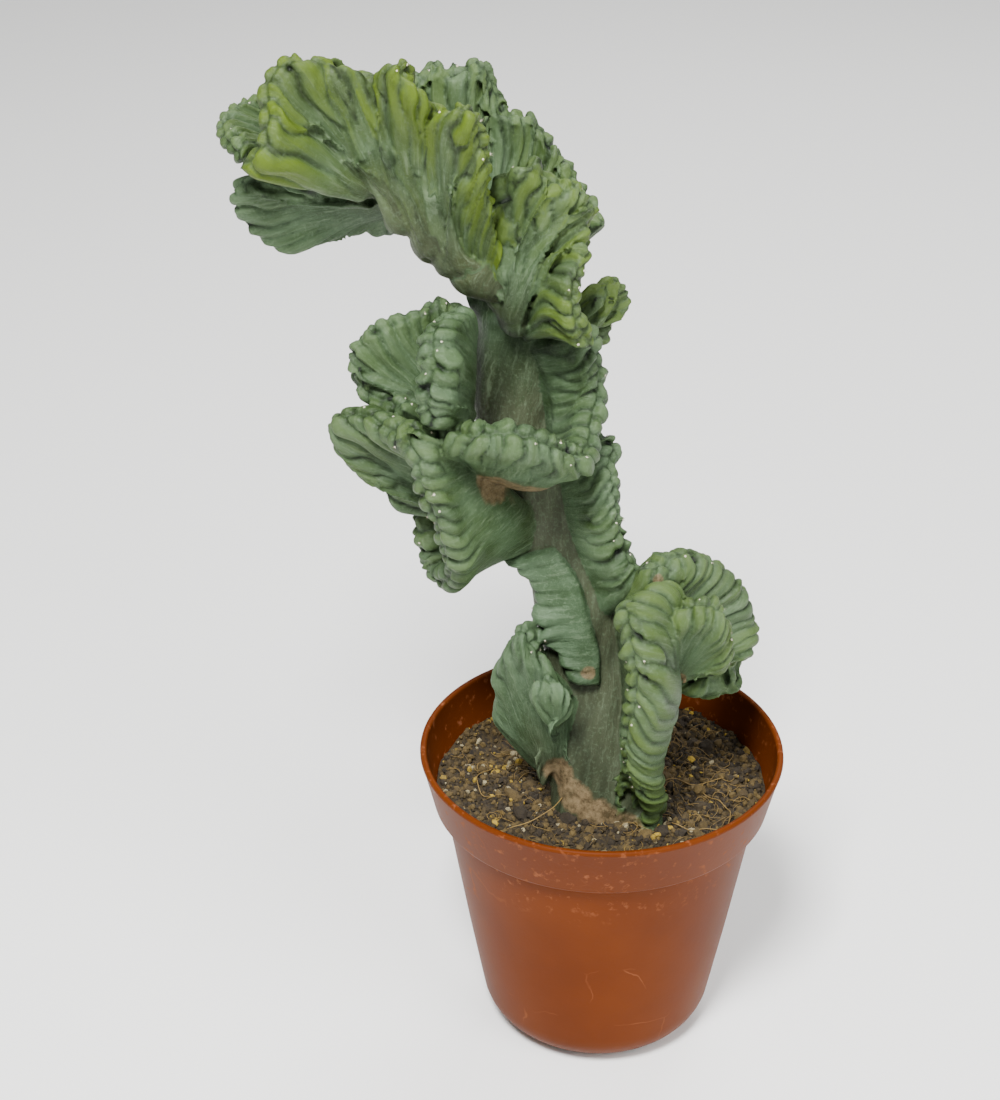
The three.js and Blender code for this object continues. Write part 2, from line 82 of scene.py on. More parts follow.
# long bared roots: points x, y and height over the soil
ROOTS = [
    [(22, -27, 1), (31, -31, 1), (39, -30, 1.5), (41, -22, 2), (37, -14, 1.5), (33, -10, 0.5)],
    [(-12, -18, 7), (-17, -24, 4), (-23, -27, 1.5), (-30, -29, 0.8), (-35, -28, -0.5)],
    [(15, -6, 1), (24, -3, 1.2), (33, -4, 1), (41, -2, 0.2)],
    [(-36, 8, 0.5), (-41, 0, 1.2), (-40, -8, 1), (-35, -12, 0)],
    [(8, -36, 0), (6, -42, 1), (9, -47, 0.5)],
]

# the trunk's foot in the soil: middle x, y, half length, half width and turn in radians
FOOT = (0.0, -11.0, 18.5, 10.5, -0.38)

# ---- plant: control points in millimetres ------------------------------------------------

# the trunk's length and girth, which set how finely its skin is made, and where its grain starts
TRUNK_LENGTH = 230
TRUNK_GIRTH = 85
TRUNK_TOP = 290
# trunk: centre x, y, z, half width, half depth
TRUNK = [
    [0, -11, 78, 17, 10],
    [1, -13, 91, 18, 12.5],
    [0, -12, 103, 17, 12.5],
    [-2, -9, 118, 16, 11],
    [-5, -5, 140, 14, 9],
    [-9, -2, 165, 14, 8.5],
    [-14, 2, 185, 14, 8.5],
    [-20, 5, 202, 14, 9],
    [-26, 8, 218, 14, 9],
    [-28, 8, 239, 15, 8],
    [-30, 4, 257, 12, 7.5],
    [-34, -3, 270, 9, 7],
]

# brown corky patches and small scars: middle x, y, z, reach and strength
CORK = [
    [-33, -16, 214, 12, 1.0],
    [-24, -14, 210, 12, 1.0],
    [-14, -17, 108, 8, 0.9],
    [-9, -21, 101, 9, 0.9],
    [-2, -24, 95, 10, 0.9],
    [7, -28, 93, 8, 0.8],
    [-6, -16, 145, 4, 0.9],
    [-6.5, -13, 177, 3.5, 0.9],
    [15, -26, 184, 3.5, 0.8],
    [14, -31, 183, 4, 0.9],
    [0, -47, 183, 3.5, 0.8],
    [22, -26, 148, 4, 0.9],
]

# ribs: how high they stand at most, how deep all sink so that the crowns meet the sheet's
# outline, and over what length they run out at the rim's ends
RIB_HEIGHT = 3.5
RIB_SINK = 3.05
RIB_RUN_OUT = 5.0
# how far down a face its ribs reach before they fade, dealt out at random
RIB_LENGTHS = [400.0, 80.0, 36.0, 20.0]
# ribs drawn beyond each end of the rim, so that those at the ends have neighbours
SPARE_RIBS = 4
# farther off than any rib
FAR = 1e6
# the share of calm at which a skin is smoothest, and how high its crown then counts
FULL_CALM = 0.9
EVEN_CROWN = 0.66
# core of a sheet: its thickness as a share of the sheet's, and how far short of the rim it ends
CORE_THICKNESS = 0.42
CORE_SHORT = 5.0
# share of the ribs that show an areole
AREOLE_SHARE = 0.15

# Each crest is a fleshy sheet:
# rim     its winding growing line
# root    where it leaves the plant
# belly   how the sheet bulges between them
# half    its half thickness at root, middle and rim
# pitch   spacing of its ribs at the rim's start and end
# beads   share of the ribs that end in a separate bead
# lime    how green its new growth is
# ruffle  waves, depth and shift of the rim's ruffle
# calm    how far down from the crest line the ribs have sunk, and by what share
# slant   how far a rib leans along the rim for each millimetre down
PLAIN = dict(beads=0, lime=0, ruffle=(0, 0, 0), slant=0)
CRESTS = {
    "top_front": PLAIN | dict(
        rim=[
            [-33, -8, 282], [-34, -16, 296], [-36, -25, 310], [-37, -31, 323], [-39, -34, 333],
            [-44, -34, 337], [-50, -27, 333], [-52, -22, 333], [-54, -29, 339], [-58, -34, 345],
            [-61, -33, 349], [-65, -25, 344], [-71, -21, 342], [-76, -21, 343], [-79, -26, 346],
            [-83, -23, 345], [-87, -29, 349], [-93, -31, 348], [-97, -33, 343], [-97, -36, 338],
            [-97, -40, 333], [-99, -42, 327], [-104, -38, 320],
        ],
        root=[
            [-30, -4, 266], [-38, -4, 272], [-46, -5, 279], [-52, -6, 285], [-59, -8, 292],
            [-66, -10, 299], [-73, -14, 304],
        ],
        belly=[
            [-3, 0, 0], [-15, 8, -6], [-7, 2, -4], [-9, 8, -10], [-1, -5, -2], [3, 2, -4],
            [3, 2, -4], [-2, 0, 0],
        ],
        half=[5, 4.5, 4.5], pitch=(4.4, 6.6), beads=0.1, lime=1, calm=(42, 0.5),
    ),
    "top_right": PLAIN | dict(
        rim=[
            [-33, -8, 287], [-31, -10, 299], [-28, -14, 309], [-26, -18, 315], [-22, -17, 312],
            [-19, -15, 310], [-15, -16, 307], [-11, -14, 307], [-7, -12, 303], [-5, -12, 298],
            [-7, -14, 294], [-7, -16, 289], [-8, -20, 285], [-11, -25, 281], [-12, -27, 275],
            [-10, -26, 267], [-6, -20, 259],
        ],
        root=[[-31, -4, 267], [-30, -4, 265], [-29, -4, 262], [-28, -3, 258], [-25, -2, 253]],
        belly=[[1, 0, 2], [-7, 2, 3], [-3, -1, 6], [-2, -5, 15], [3, 1, 17], [-1, -6, 8]],
        half=[5, 4.5, 4.5], pitch=(4.8, 4.8), beads=0.15, lime=0.7, calm=(38, 0.5),
    ),
    "top_rear": PLAIN | dict(
        rim=[
            [-104, -34, 321], [-109, -28, 323], [-112, -18, 325], [-111, -8, 327], [-106, 0, 328],
            [-94, 10, 327], [-83, 12, 329], [-70, 16, 328], [-57, 20, 330], [-53, 20, 333],
            [-47, 17, 330], [-42, 20, 332], [-38, 23, 332], [-34, 21, 325], [-33, 19, 318],
            [-28, 22, 316], [-23, 26, 314], [-18, 24, 308], [-13, 24, 302], [-10, 20, 297],
            [-5, 16, 290], [-3, 10, 285],
        ],
        root=[
            [-91, -8, 308], [-77, 0, 299], [-63, 4, 288], [-48, 8, 277], [-37, 10, 269],
            [-27, 10, 261], [-21, 10, 258],
        ],
        belly=[[0, 8, 4]],
        half=[5, 3.5, 4.5], pitch=(5, 4.4), beads=0.6, lime=0.35, ruffle=(5, 0.7, 0),
        calm=(36, 0.5),
    ),
    "top_under": PLAIN | dict(
        rim=[
            [-93, -4, 302], [-103, -4, 303], [-111, 0, 301], [-112, 3, 294], [-110, 5, 288],
            [-106, 6, 283], [-99, 6, 280], [-91, 6, 282], [-81, 6, 285], [-70, 6, 284],
            [-64, 4, 286],
        ],
        root=[[-69, -8, 304], [-65, -6, 299], [-61, -4, 293]],
        belly=[[0, 2, 0]],
        half=[4, 4, 3.5], pitch=(6.5, 6.5), lime=0.1, ruffle=(1, 0.5, 0.2), calm=(26, 0.75),
    ),
    "rear_horn": PLAIN | dict(
        rim=[
            [-2, 14, 245], [1, 14, 248], [2, 16, 251], [5, 18, 252], [7, 20, 256], [7, 20, 260],
            [4, 18, 265], [1, 14, 266], [-1, 10, 264], [-5, 8, 262],
        ],
        root=[[-15, 8, 249], [-14, 8, 253]],
        belly=[[0, 0, 0]],
        half=[5, 4, 3.5], pitch=(4, 4), beads=0.3, lime=0.6, calm=(20, 0.7),
    ),
    "bowl": PLAIN | dict(
        rim=[
            [-8, -12, 263], [-5, -12, 257], [-3, -10, 249], [-3, -10, 240], [-5, -14, 234],
            [-6, -20, 230], [-9, -30, 230], [-14, -36, 234], [-20, -40, 239], [-26, -42, 242],
            [-33, -42, 243], [-39, -42, 242], [-44, -38, 241], [-47, -33, 239], [-51, -28, 238],
        ],
        root=[
            [-26, 4, 252], [-22, 4, 239], [-19, 2, 227], [-19, 0, 217], [-24, -4, 208],
            [-31, -6, 209], [-37, -6, 213], [-41, -6, 219], [-45, -6, 222],
        ],
        belly=[[0, 0, -2], [0, 0, -7], [0, -2, -6]],
        half=[6.5, 5.5, 6.5], pitch=(5, 6), beads=0.45, lime=0.2, calm=(26, 0.7),
    ),
    "left_fan": PLAIN | dict(
        rim=[
            [-62, -22, 239], [-67, -18, 240], [-73, -14, 241], [-78, -11, 245], [-80, -10, 251],
            [-78, -9, 256], [-74, -8, 260], [-69, -6, 263], [-63, -5, 264], [-57, -4, 266],
            [-52, -2, 268], [-47, -2, 266], [-44, -6, 263],
        ],
        root=[[-45, -10, 224], [-48, -9, 228], [-50, -8, 232], [-49, -6, 235], [-45, -4, 232]],
        belly=[[0, 0, 0]],
        half=[6, 4.5, 4.5], pitch=(4.6, 4.6), beads=0.75, lime=0.2, ruffle=(2, 0.8, 0.1),
        calm=(28, 0.65),
    ),
    "left_roll": PLAIN | dict(
        rim=[
            [-46, -8, 267], [-50, -18, 269], [-53, -27, 270], [-54, -33, 267], [-53, -36, 263],
            [-54, -38, 258], [-55, -39, 252], [-55, -39, 247], [-52, -37, 241],
        ],
        root=[[-44, -3, 256], [-43, -3, 244], [-44, -5, 233], [-44, -8, 225]],
        belly=[[4, 0, 0]],
        half=[6, 7, 7], pitch=(5, 4.6), beads=0.25, lime=0.12, calm=(22, 0.75), slant=0.2,
    ),
    "low_fan": PLAIN | dict(
        rim=[
            [-60, -6, 202], [-66, -7, 203], [-70, -8, 205], [-75, -8, 210], [-81, -10, 218],
            [-85, -12, 225], [-85, -14, 232], [-81, -17, 236], [-75, -20, 238], [-70, -25, 238],
            [-66, -30, 238], [-62, -36, 238],
        ],
        root=[[-34, -6, 194], [-37, -6, 198], [-42, -8, 208]],
        belly=[[0, 0, 0]],
        half=[6, 5, 5], pitch=(6.6, 6.6), beads=0.6, lime=0.3, ruffle=(1, 0.6, 0.2),
        calm=(34, 0.55),
    ),
    "low_roll": PLAIN | dict(
        rim=[
            [-58, -31, 241], [-62, -34, 238], [-59, -36, 232], [-58, -37, 225], [-56, -37, 217],
            [-53, -35, 206], [-51, -31, 196], [-50, -25, 186], [-53, -16, 177], [-57, -8, 175],
            [-60, -4, 180], [-61, -2, 188], [-61, 2, 193], [-58, 4, 195],
        ],
        root=[
            [-46, -8, 227], [-43, -9, 218], [-37, -8, 212], [-26, -4, 200], [-21, 0, 187],
            [-23, 2, 178], [-28, 4, 176],
        ],
        belly=[[0, -5, 0], [0, -6, 0], [0, -4, 0], [0, 0, 0]],
        half=[6, 5.5, 6], pitch=(5.8, 5), beads=0.35, lime=0.25, calm=(19, 0.9), slant=0.3,
    ),
    "side_crest": PLAIN | dict(
        rim=[
            [-7, 4, 220], [-2, 2, 221], [3, -2, 219], [1, -10, 216], [2, -15, 212], [3, -17, 204],
            [5, -17, 195], [7, -17, 188], [10, -18, 184], [11, -19, 179],
        ],
        root=[[-18, 4, 217], [-15, 2, 204], [-11, 0, 187], [0, -6, 159]],
        belly=[[0, -4, 0]],
        half=[6, 6.5, 6], pitch=(4.6, 4.6), beads=0.6, lime=0.15, calm=(24, 0.8), slant=0.5,
    ),
    "right_lobe": PLAIN | dict(
        rim=[
            [9, -20, 185], [14, -20, 188], [18, -19, 188], [22, -16, 189], [28, -12, 187],
            [34, -8, 182], [41, -4, 174], [45, -1, 165], [48, 0, 154], [48, -4, 147], [45, -9, 143],
            [38, -13, 142], [30, -16, 143],
        ],
        root=[[1, -6, 165], [7, -8, 156], [14, -10, 147], [19, -12, 137]],
        belly=[[0, -8, 0]],
        half=[7, 7, 7], pitch=(5.2, 5.6), beads=0.5, lime=0.4, ruffle=(2, 1.2, 0.2), calm=(28, 0.6),
    ),
    "front_lobe": PLAIN | dict(
        rim=[
            [19, -30, 176], [21, -34, 181], [27, -36, 183], [33, -36, 181], [37, -32, 172],
            [39, -28, 161], [35, -25, 154],
        ],
        root=[[19, -16, 145], [22, -17, 141]],
        belly=[[0, -3, 0]],
        half=[6, 6.5, 6.5], pitch=(5.2, 5.2), beads=0.05, lime=0.45, ruffle=(1, 0.6, 0.2),
        calm=(26, 0.7),
    ),
    "front_crest": PLAIN | dict(
        rim=[
            [16, -24, 179], [9, -34, 185], [3, -42, 186], [3, -46, 181], [4, -48, 174],
            [5, -49, 168], [6, -49, 159], [5, -48, 149], [4, -45, 138], [5, -40, 126], [8, -34, 113],
            [12, -27, 101], [14, -20, 88],
        ],
        root=[[2, -6, 164], [5, -8, 148], [6, -10, 130], [5, -10, 107], [4, -9, 70]],
        belly=[[20, -6, 0], [22, -6, 0], [18, -5, 0], [4, -4, 0]],
        half=[8, 8, 8], pitch=(6.4, 4.6), beads=0.45, lime=0.5, ruffle=(2, 0.8, 0.1),
        calm=(32, 0.6), slant=0.6,
    ),
    "left_flange": PLAIN | dict(
        rim=[
            [-34, 1, 177], [-28, -2, 175], [-24, -5, 171], [-23, -7, 165], [-22, -8, 158],
            [-21, -9, 152], [-17, -11, 149], [-12, -13, 145], [-6, -14, 141],
        ],
        root=[[-17, -6, 185], [-9, -10, 175], [-5, -12, 161], [-2, -13, 151], [-2, -14, 139]],
        belly=[[0, -3, 0]],
        half=[6, 4.5, 4], pitch=(5, 5), beads=0.1, ruffle=(3, 1, 0.3), calm=(15, 0.85), slant=0.3,
    ),
    "left_arm": PLAIN | dict(
        rim=[
            [-30, -3, 123], [-32, -6, 132], [-32, -10, 144], [-32, -13, 153], [-30, -16, 160],
            [-27, -18, 163], [-23, -19, 159], [-19, -18, 152], [-17, -15, 142], [-16, -12, 130],
        ],
        root=[[-16, -10, 101], [-14, -10, 101], [-12, -10, 103]],
        belly=[[-3, 0, -4], [0, -2, -2]],
        half=[8, 9, 7.5], pitch=(5.2, 5.2), beads=0.4, lime=0.1, ruffle=(1, 0.5, 0.2),
        calm=(24, 0.85),
    ),
    "arm_bud": PLAIN | dict(
        rim=[
            [-23, -24, 145], [-22, -27, 150], [-19, -29, 152], [-15, -28, 149], [-13, -24, 139],
        ],
        root=[[-17, -16, 123], [-14, -16, 124]],
        belly=[[0, -5, 0]],
        half=[5, 5.5, 5.5], pitch=(4.8, 4.8), lime=0.1, calm=(30, 0.3),
    ),
}

# the plant's masses: their crests, and the stretch of trunk, as shares of its length
MASSES = {
    "cactus_crown": (["top_front", "top_under"], 0.86, 1.0),
    "cactus_crown_back": (["top_right", "top_rear", "rear_horn"], 0.72, 0.96),
    "cactus_middle": (
        ["bowl", "left_fan", "left_roll", "low_fan", "low_roll", "side_crest"], 0.40, 0.93,
    ),
    "cactus_base": (
        ["right_lobe", "front_lobe", "front_crest", "left_flange", "left_arm", "arm_bud"],
        0.0, 0.55,
    ),
}
# where areoles sit on each mass: place, outward normal and size, filled as the masses are made
AREOLES = {}

# ---- stage, in metres -------------------------------------------------------------------
# lights: name, place, side and power; all look at the middle of the plant
LIGHTS = (
    ("key", (-0.22, -0.72, 1.25), 0.3, 45),
    ("fill", (0.7, -0.8, 0.9), 0.7, 12),
    ("rim", (0.35, 0.9, 1.2), 0.8, 12),
)
LIT_PLACE = (-0.03, 0, 0.18)
WORLD_STRENGTH = 0.36
FLOOR_DROP = 0.0002
CAMERA_PLACE = (-0.03354, -0.6327, 0.534)
# the camera looks down by this many degrees
CAMERA_DOWN = 29.21


# ---- small helpers ----------------------------------------------------------------------
def to_linear(code):
    """An sRGB colour such as "7F9A78" as linear RGBA."""
    parts = [int(code[i:i + 2], 16) / 255 for i in (0, 2, 4)]
    return tuple(c / 12.92 if c <= 0.04045 else ((c + 0.055) / 1.055) ** 2.4 for c in parts) + (1.0,)


def smoothstep(low, high, value):
    """0 on low's side, 1 on high's side, and smooth between."""
    t = np.clip((value - low) / (high - low), 0, 1)
    return t * t * (3 - 2 * t)


def spline(points, t):
    """A smooth curve through the points, read at each t from 0 to 1."""
    p = np.asarray(points, float)
    t = np.asarray(t, float)
    if len(p) == 1:
        return np.broadcast_to(p[0], t.shape + (p.shape[1],)).copy()
    if len(p) == 2:
        return p[0] + (p[1] - p[0]) * t[..., None]
    place = np.clip(t, 0, 1) * (len(p) - 1)
    i = np.minimum(place.astype(int), len(p) - 2)
    f = (place - i)[..., None]
    ends = np.vstack([2 * p[0] - p[1], p, 2 * p[-1] - p[-2]])
    a, b, c, d = ends[i], ends[i + 1], ends[i + 2], ends[i + 3]
    return 0.5 * (
        2 * b + (c - a) * f + (2 * a - 5 * b + 4 * c - d) * f ** 2 + (3 * b - a - 3 * c + d) * f ** 3
    )


def unit(vectors):
    """Vectors of length 1."""
    return vectors / np.maximum(np.linalg.norm(vectors, axis=-1, keepdims=True), 1e-9)


def way_along(points):
    """How far each point of a line is from the line's start, along it."""
    steps = np.linalg.norm(np.diff(points, axis=-2), axis=-1)
    return np.concatenate([np.zeros(steps.shape[:-1] + (1,)), np.cumsum(steps, axis=-1)], axis=-1)


def ripple(x, y, z, seed, wave):
    """Smooth noise between about -1 and 1: slanted sine waves of that length and two shorter."""
    rng = np.random.default_rng(seed)
    total = np.zeros(np.shape(x))
    weight = 0.0
    for octave in range(3):
        for _ in range(4):
            way = unit(rng.normal(size=3)) * 2 * math.pi / (wave / 1.9 ** octave)
            total += np.sin(way[0] * x + way[1] * y + way[2] * z + rng.uniform(0, 6.3)) / 1.7 ** octave
        weight += 2.2 / 1.7 ** octave
    return total / weight


def ring_faces(rings, size):
    """Quads between rings of points that follow one another, and the table of their numbers."""
    index = np.arange(rings * size).reshape(rings, size)
    a = index[:-1]
    b = index[1:]
    quads = np.stack([a, np.roll(a, -1, 1), np.roll(b, -1, 1), b], axis=-1)
    return quads.reshape(-1, 4).tolist(), index


def closed_tube(rings, size):
    """Faces of a tube of rings, with a flat face at each end."""
    faces, index = ring_faces(rings, size)
    return faces + [index[0][::-1].tolist(), index[-1].tolist()]


def join_parts(parts):
    """Vertices and faces of several parts as one list each."""
    faces = []
    start = 0
    for vertices, around in parts:
        faces += [[corner + start for corner in face] for face in around]
        start += len(vertices)
    return np.concatenate([vertices for vertices, around in parts]), faces


def new_object(name, vertices, faces, smooth=True):
    """A mesh object at the origin from vertices in millimetres."""
    mesh = bpy.data.meshes.new(name)
    mesh.from_pydata((np.asarray(vertices) * MM).tolist(), [], faces)
    mesh.update()
    mesh.polygons.foreach_set("use_smooth", [smooth] * len(mesh.polygons))
    made = bpy.data.objects.new(name, mesh)
    bpy.context.scene.collection.objects.link(made)
    return made


def remove_object(unwanted):
    """Deletes an object and its mesh."""
    mesh = unwanted.data
    bpy.data.objects.remove(unwanted)
    bpy.data.meshes.remove(mesh)


def select_only(chosen):
    """Selects one object and nothing else, and makes it the active one."""
    bpy.ops.object.select_all(action="DESELECT")
    chosen.select_set(True)
    bpy.context.view_layer.objects.active = chosen


def apply_modifier(chosen, kind, **settings):
    """Adds a modifier to an object and applies it."""
    select_only(chosen)
    added = chosen.modifiers.new(kind.title(), kind)
    for key, value in settings.items():
        setattr(added, key, value)
    bpy.ops.object.modifier_apply(modifier=added.name)


def positions(mesh):
    """A mesh's vertex places in millimetres."""
    places = np.empty(len(mesh.vertices) * 3)
    mesh.vertices.foreach_get("co", places)
    return places.reshape(-1, 3) / MM


def set_attribute(mesh, name, values):
    """Stores one number for each vertex."""
    layer = mesh.attributes.new(name, "FLOAT", "POINT")
    layer.data.foreach_set("value", np.asarray(values, dtype=np.float32))


def finish_piece(piece, material, slot, *nodes):
    """Gives a piece its material and its body, and hides the nodes that it stands for; slot is not
    used.
    """
    piece.data.materials.clear()
    piece.data.materials.append(material)
    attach(piece, "root")
    if nodes:
        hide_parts(*nodes)


# ---- material helpers -------------------------------------------------------------------
def add_node(tree, kind, inputs=None, **settings):
    """Adds a node with its settings; a socket is given a value or another node's output."""
    made = tree.nodes.new(kind)
    for key, value in settings.items():
        setattr(made, key, value)
    for key, value in (inputs or {}).items():
        if isinstance(value, bpy.types.NodeSocket):
            tree.links.new(value, made.inputs[key])
        else:
            made.inputs[key].default_value = value
    return made


def new_material(name):
    """A plain node material, with its tree, its shader and the place on the object."""
    material = bpy.data.materials.new(name)
    material.use_nodes = True
    tree = material.node_tree
    tree.nodes.clear()
    shader = add_node(tree, "ShaderNodeBsdfPrincipled")
    output = add_node(tree, "ShaderNodeOutputMaterial")
    tree.links.new(shader.outputs["BSDF"], output.inputs["Surface"])
    place = add_node(tree, "ShaderNodeTexCoord").outputs["Object"]
    return material, tree, shader, place


def attribute(tree, name):
    """A number that the mesh carries at each vertex."""
    return add_node(tree, "ShaderNodeAttribute", attribute_name=name).outputs["Fac"]


def noise(tree, place, scale, detail, roughness=0.5):
    """Cloudy noise from 0 to 1; scale is the number of clouds along one unit of place."""
    inputs = {"Vector": place, "Scale": scale, "Detail": detail, "Roughness": roughness}
    return add_node(tree, "ShaderNodeTexNoise", inputs).outputs["Fac"]


def remap(tree, value, low, high, start=0.0, stop=1.0):
    """Turns a value from low to high into one from start to stop, and holds it there."""
    inputs = {"Value": value, "From Min": low, "From Max": high, "To Min": start, "To Max": stop}
    return add_node(tree, "ShaderNodeMapRange", inputs).outputs["Result"]


def maths(tree, operation, *values):
    """The result of one operation on the values."""
    return add_node(tree, "ShaderNodeMath", dict(enumerate(values)), operation=operation).outputs[0]


def mixed(tree, share, under, over):
    """One colour over another in a share from 0 to 1; each is a code, a setting or an output."""
    inputs = {0: share}
    for key, colour in ((6, under), (7, over)):
        if isinstance(colour, str):
            colour = to_linear(colour)
        elif not isinstance(colour, bpy.types.NodeSocket):
            colour = tuple(colour)
        inputs[key] = colour
    return add_node(tree, "ShaderNodeMix", inputs, data_type="RGBA").outputs[2]


def set_shader(tree, shader, **sockets):
    """Gives the shader's sockets values or node outputs, by names such as Base_Color."""
    for name, value in sockets.items():
        socket = shader.inputs[name.replace("_", " ")]
        if isinstance(value, bpy.types.NodeSocket):
            tree.links.new(value, socket)
        else:
            socket.default_value = value


def raise_relief(tree, shader, height, strength, distance):
    """Bumps the surface, over any relief that it has already; distance is in metres."""
    inputs = {"Height": height, "Strength": strength, "Distance": distance}
    normal = shader.inputs["Normal"]
    if normal.is_linked:
        inputs["Normal"] = normal.links[0].from_socket
    tree.links.new(add_node(tree, "ShaderNodeBump", inputs).outputs["Normal"], normal)


# ---- plant skin -------------------------------------------------------------------------
def sheet_middle(crest, u, v):
    """Middle surface of a crest; u runs along the rim and v from root to rim."""
    rim = spline(crest["rim"], u)[:, None]
    root = spline(crest["root"], u)[:, None]
    bulge = (rim + root) / 2 + spline(crest["belly"], u)[:, None]
    v = v[None, :, None]
    return (1 - v) ** 2 * root + 2 * v * (1 - v) * bulge + v ** 2 * rim


def sheet_normals(middle, v):
    """Normals of a crest's middle surface; near the root they follow the sheet above it."""
    across = np.gradient(middle, axis=0)
    steady = int(np.argmin(np.abs(v - 0.35)))
    across[:, :steady] = across[:, steady:steady + 1]
    return unit(np.cross(across, np.gradient(middle, axis=1)))


def both_faces(front, back):
    """One ring round a sheet: up its front from root to rim, and down its back."""
    return np.concatenate([front, back[:, -2:0:-1]], axis=1)


def round_end(distance, radius):
    """Profile of a round edge: 0 at the edge and 1 from the radius inwards."""
    inside = 1 - np.clip(distance / radius, 0, 1)
    return np.sqrt(np.clip(1 - inside ** 2, 0, 1))


def rib_numbers(crest, line):
    """The rib number at each place on the rim, how many ribs there are, and their spacing."""
    spacing = np.interp(line, [0, line[-1]], crest["pitch"])
    steps = np.diff(line) / ((spacing[1:] + spacing[:-1]) / 2)
    number = np.concatenate([[0], np.cumsum(steps)])
    count = max(4, int(round(number[-1])))
    return number * count / number[-1], count, spacing


def rib_relief(crest, along, inward, side, spread, seed):
    """Height of ribs and beads, 0 to 1, their local half width, and the rib heads.

    along is the arc length on the rim, inward the way down the face from the crest line,
    side +1 or -1 for the face, and spread the sheet's width as a share of its rim width.
    A head is (place along the rim, way down the face, face).
    """
    rng = np.random.default_rng(seed)
    line = along[:, 0]
    number, count, spacing = rib_numbers(crest, line)
    drawn = count + 2 * SPARE_RIBS
    pitch = spacing[:, None] * np.ones_like(along)
    best = np.full(along.shape, FAR)
    second = np.full(along.shape, FAR)
    swell = np.ones(along.shape)
    heads = []
    # ribs wander on their way down, in long swings and short ones, and lean along the rim
    drift = 0.4 * np.sin(inward / 9.0 + along / 13.0 + seed) * smoothstep(3, 14, inward)
    drift = drift + 0.1 * np.sin(inward / 3.1 + along / 5.3 + 2 * seed) * smoothstep(1, 5, inward)
    lean = crest["slant"] * 10 * (1 - np.exp(-inward / 10))
    place = number[:, None] + drift - lean / pitch
    for face, shift in ((1, 0.25), (-1, 0.75)):
        jitter = rng.uniform(-0.32, 0.32, drawn)
        rise = rng.uniform(0.62, 1.08, drawn)
        level = rng.permutation(drawn) % len(RIB_LENGTHS)
        top = rng.uniform(1.5, 2.8, drawn)
        beaded = rng.uniform(size=drawn) < crest["beads"]
        bead = rng.uniform(3.2, 5.6, drawn)
        reach = np.choose(level, RIB_LENGTHS) * rng.uniform(0.75, 1.3, drawn)
        nearest = np.floor(place - shift).astype(int)
        for i in range(count):
            own = i + SPARE_RIBS
            middle = np.interp(i + shift + jitter[own], number, line)
            heads.append((middle, top[own] + (0.5 * bead[own] if beaded[own] else 0.0), face))
        for step in range(-2, 4):
            i = nearest + step
            known = np.clip(i + SPARE_RIBS, 0, drawn - 1)
            across = (place - i - shift - jitter[known]) * pitch * spread
            head = top[known]
            end = reach[known]
            start = np.where(beaded[known], head + bead[known], head)
            down = np.where(side == face, inward, -inward)
            gap_body = np.maximum(0, np.maximum(start - down, down - end))
            gap_head = np.maximum(0, np.maximum(head - down, down - head - 0.2))
            gap = np.minimum(gap_body, np.where(beaded[known], gap_head, FAR))
            fading = 0.9 * pitch * spread * smoothstep(0.45, 1.0, down / end) ** 2
            distance = np.hypot(across, gap) + np.where(down > 0, fading, 0)
            closer = distance < best
            second = np.where(closer, best, np.minimum(second, distance))
            swell = np.where(closer, rise[known], swell)
            best = np.where(closer, distance, best)
    widest = pitch * (0.62 + 1.3 * smoothstep(4, 16, inward))
    radius = np.clip((best + second) / 2, 0.2, widest)
    height = np.sqrt(np.clip(1 - (best / radius) ** 2.8, 0, 1)) * swell
    return height, radius, heads


def sheet_core(middle, outward, half, length):
    """A plain thin sheet that keeps a crest whole where creases meet; it ends short of the rim."""
    columns, rows = half.shape
    v = (1 - np.cos(np.linspace(0, math.pi, rows))) / 2
    short = np.clip(1 - CORE_SHORT / length, 0.3, 1)
    down = np.arccos(1 - 2 * v[None] * short) / math.pi * (rows - 1)
    before = np.minimum(down.astype(int), rows - 2)
    part = (down - before)[..., None]
    column = np.arange(columns)[:, None]
    flat = middle[column, before] * (1 - part) + middle[column, before + 1] * part
    thick = CORE_THICKNESS * half[..., None] * outward
    return both_faces(flat + thick, flat - thick)


def sheet_faces(columns, rows, size):
    """Faces of a crest's closed skin: rings round the sheet, and a strip across each end."""
    faces, index = ring_faces(columns, size)
    for ring, turned in ((index[0], True), (index[-1], False)):
        for k in range(rows - 1):
            corners = [ring[k], ring[k + 1], ring[size - k - 1], ring[(size - k) % size]]
            corners = list(dict.fromkeys(int(corner) for corner in corners))
            if len(corners) > 2:
                faces.append(corners[::-1] if turned else corners)
    return faces


def areoles_on(skin, normal, along_rim, inward, side, heads, seed):
    """Place, outward normal and size of the areoles that some rib heads carry."""
    rng = np.random.default_rng(seed)
    found = []
    for place, down, face in heads:
        column = int(np.argmin(np.abs(along_rim - place)))
        wrong_face = 100 * (side[column] != face)
        k = int(np.argmin(np.abs(inward[column] - down) + wrong_face))
        if rng.uniform() < AREOLE_SHARE:
            found.append((skin[column, k], normal[column, k], rng.uniform(0.5, 0.85)))
    return found


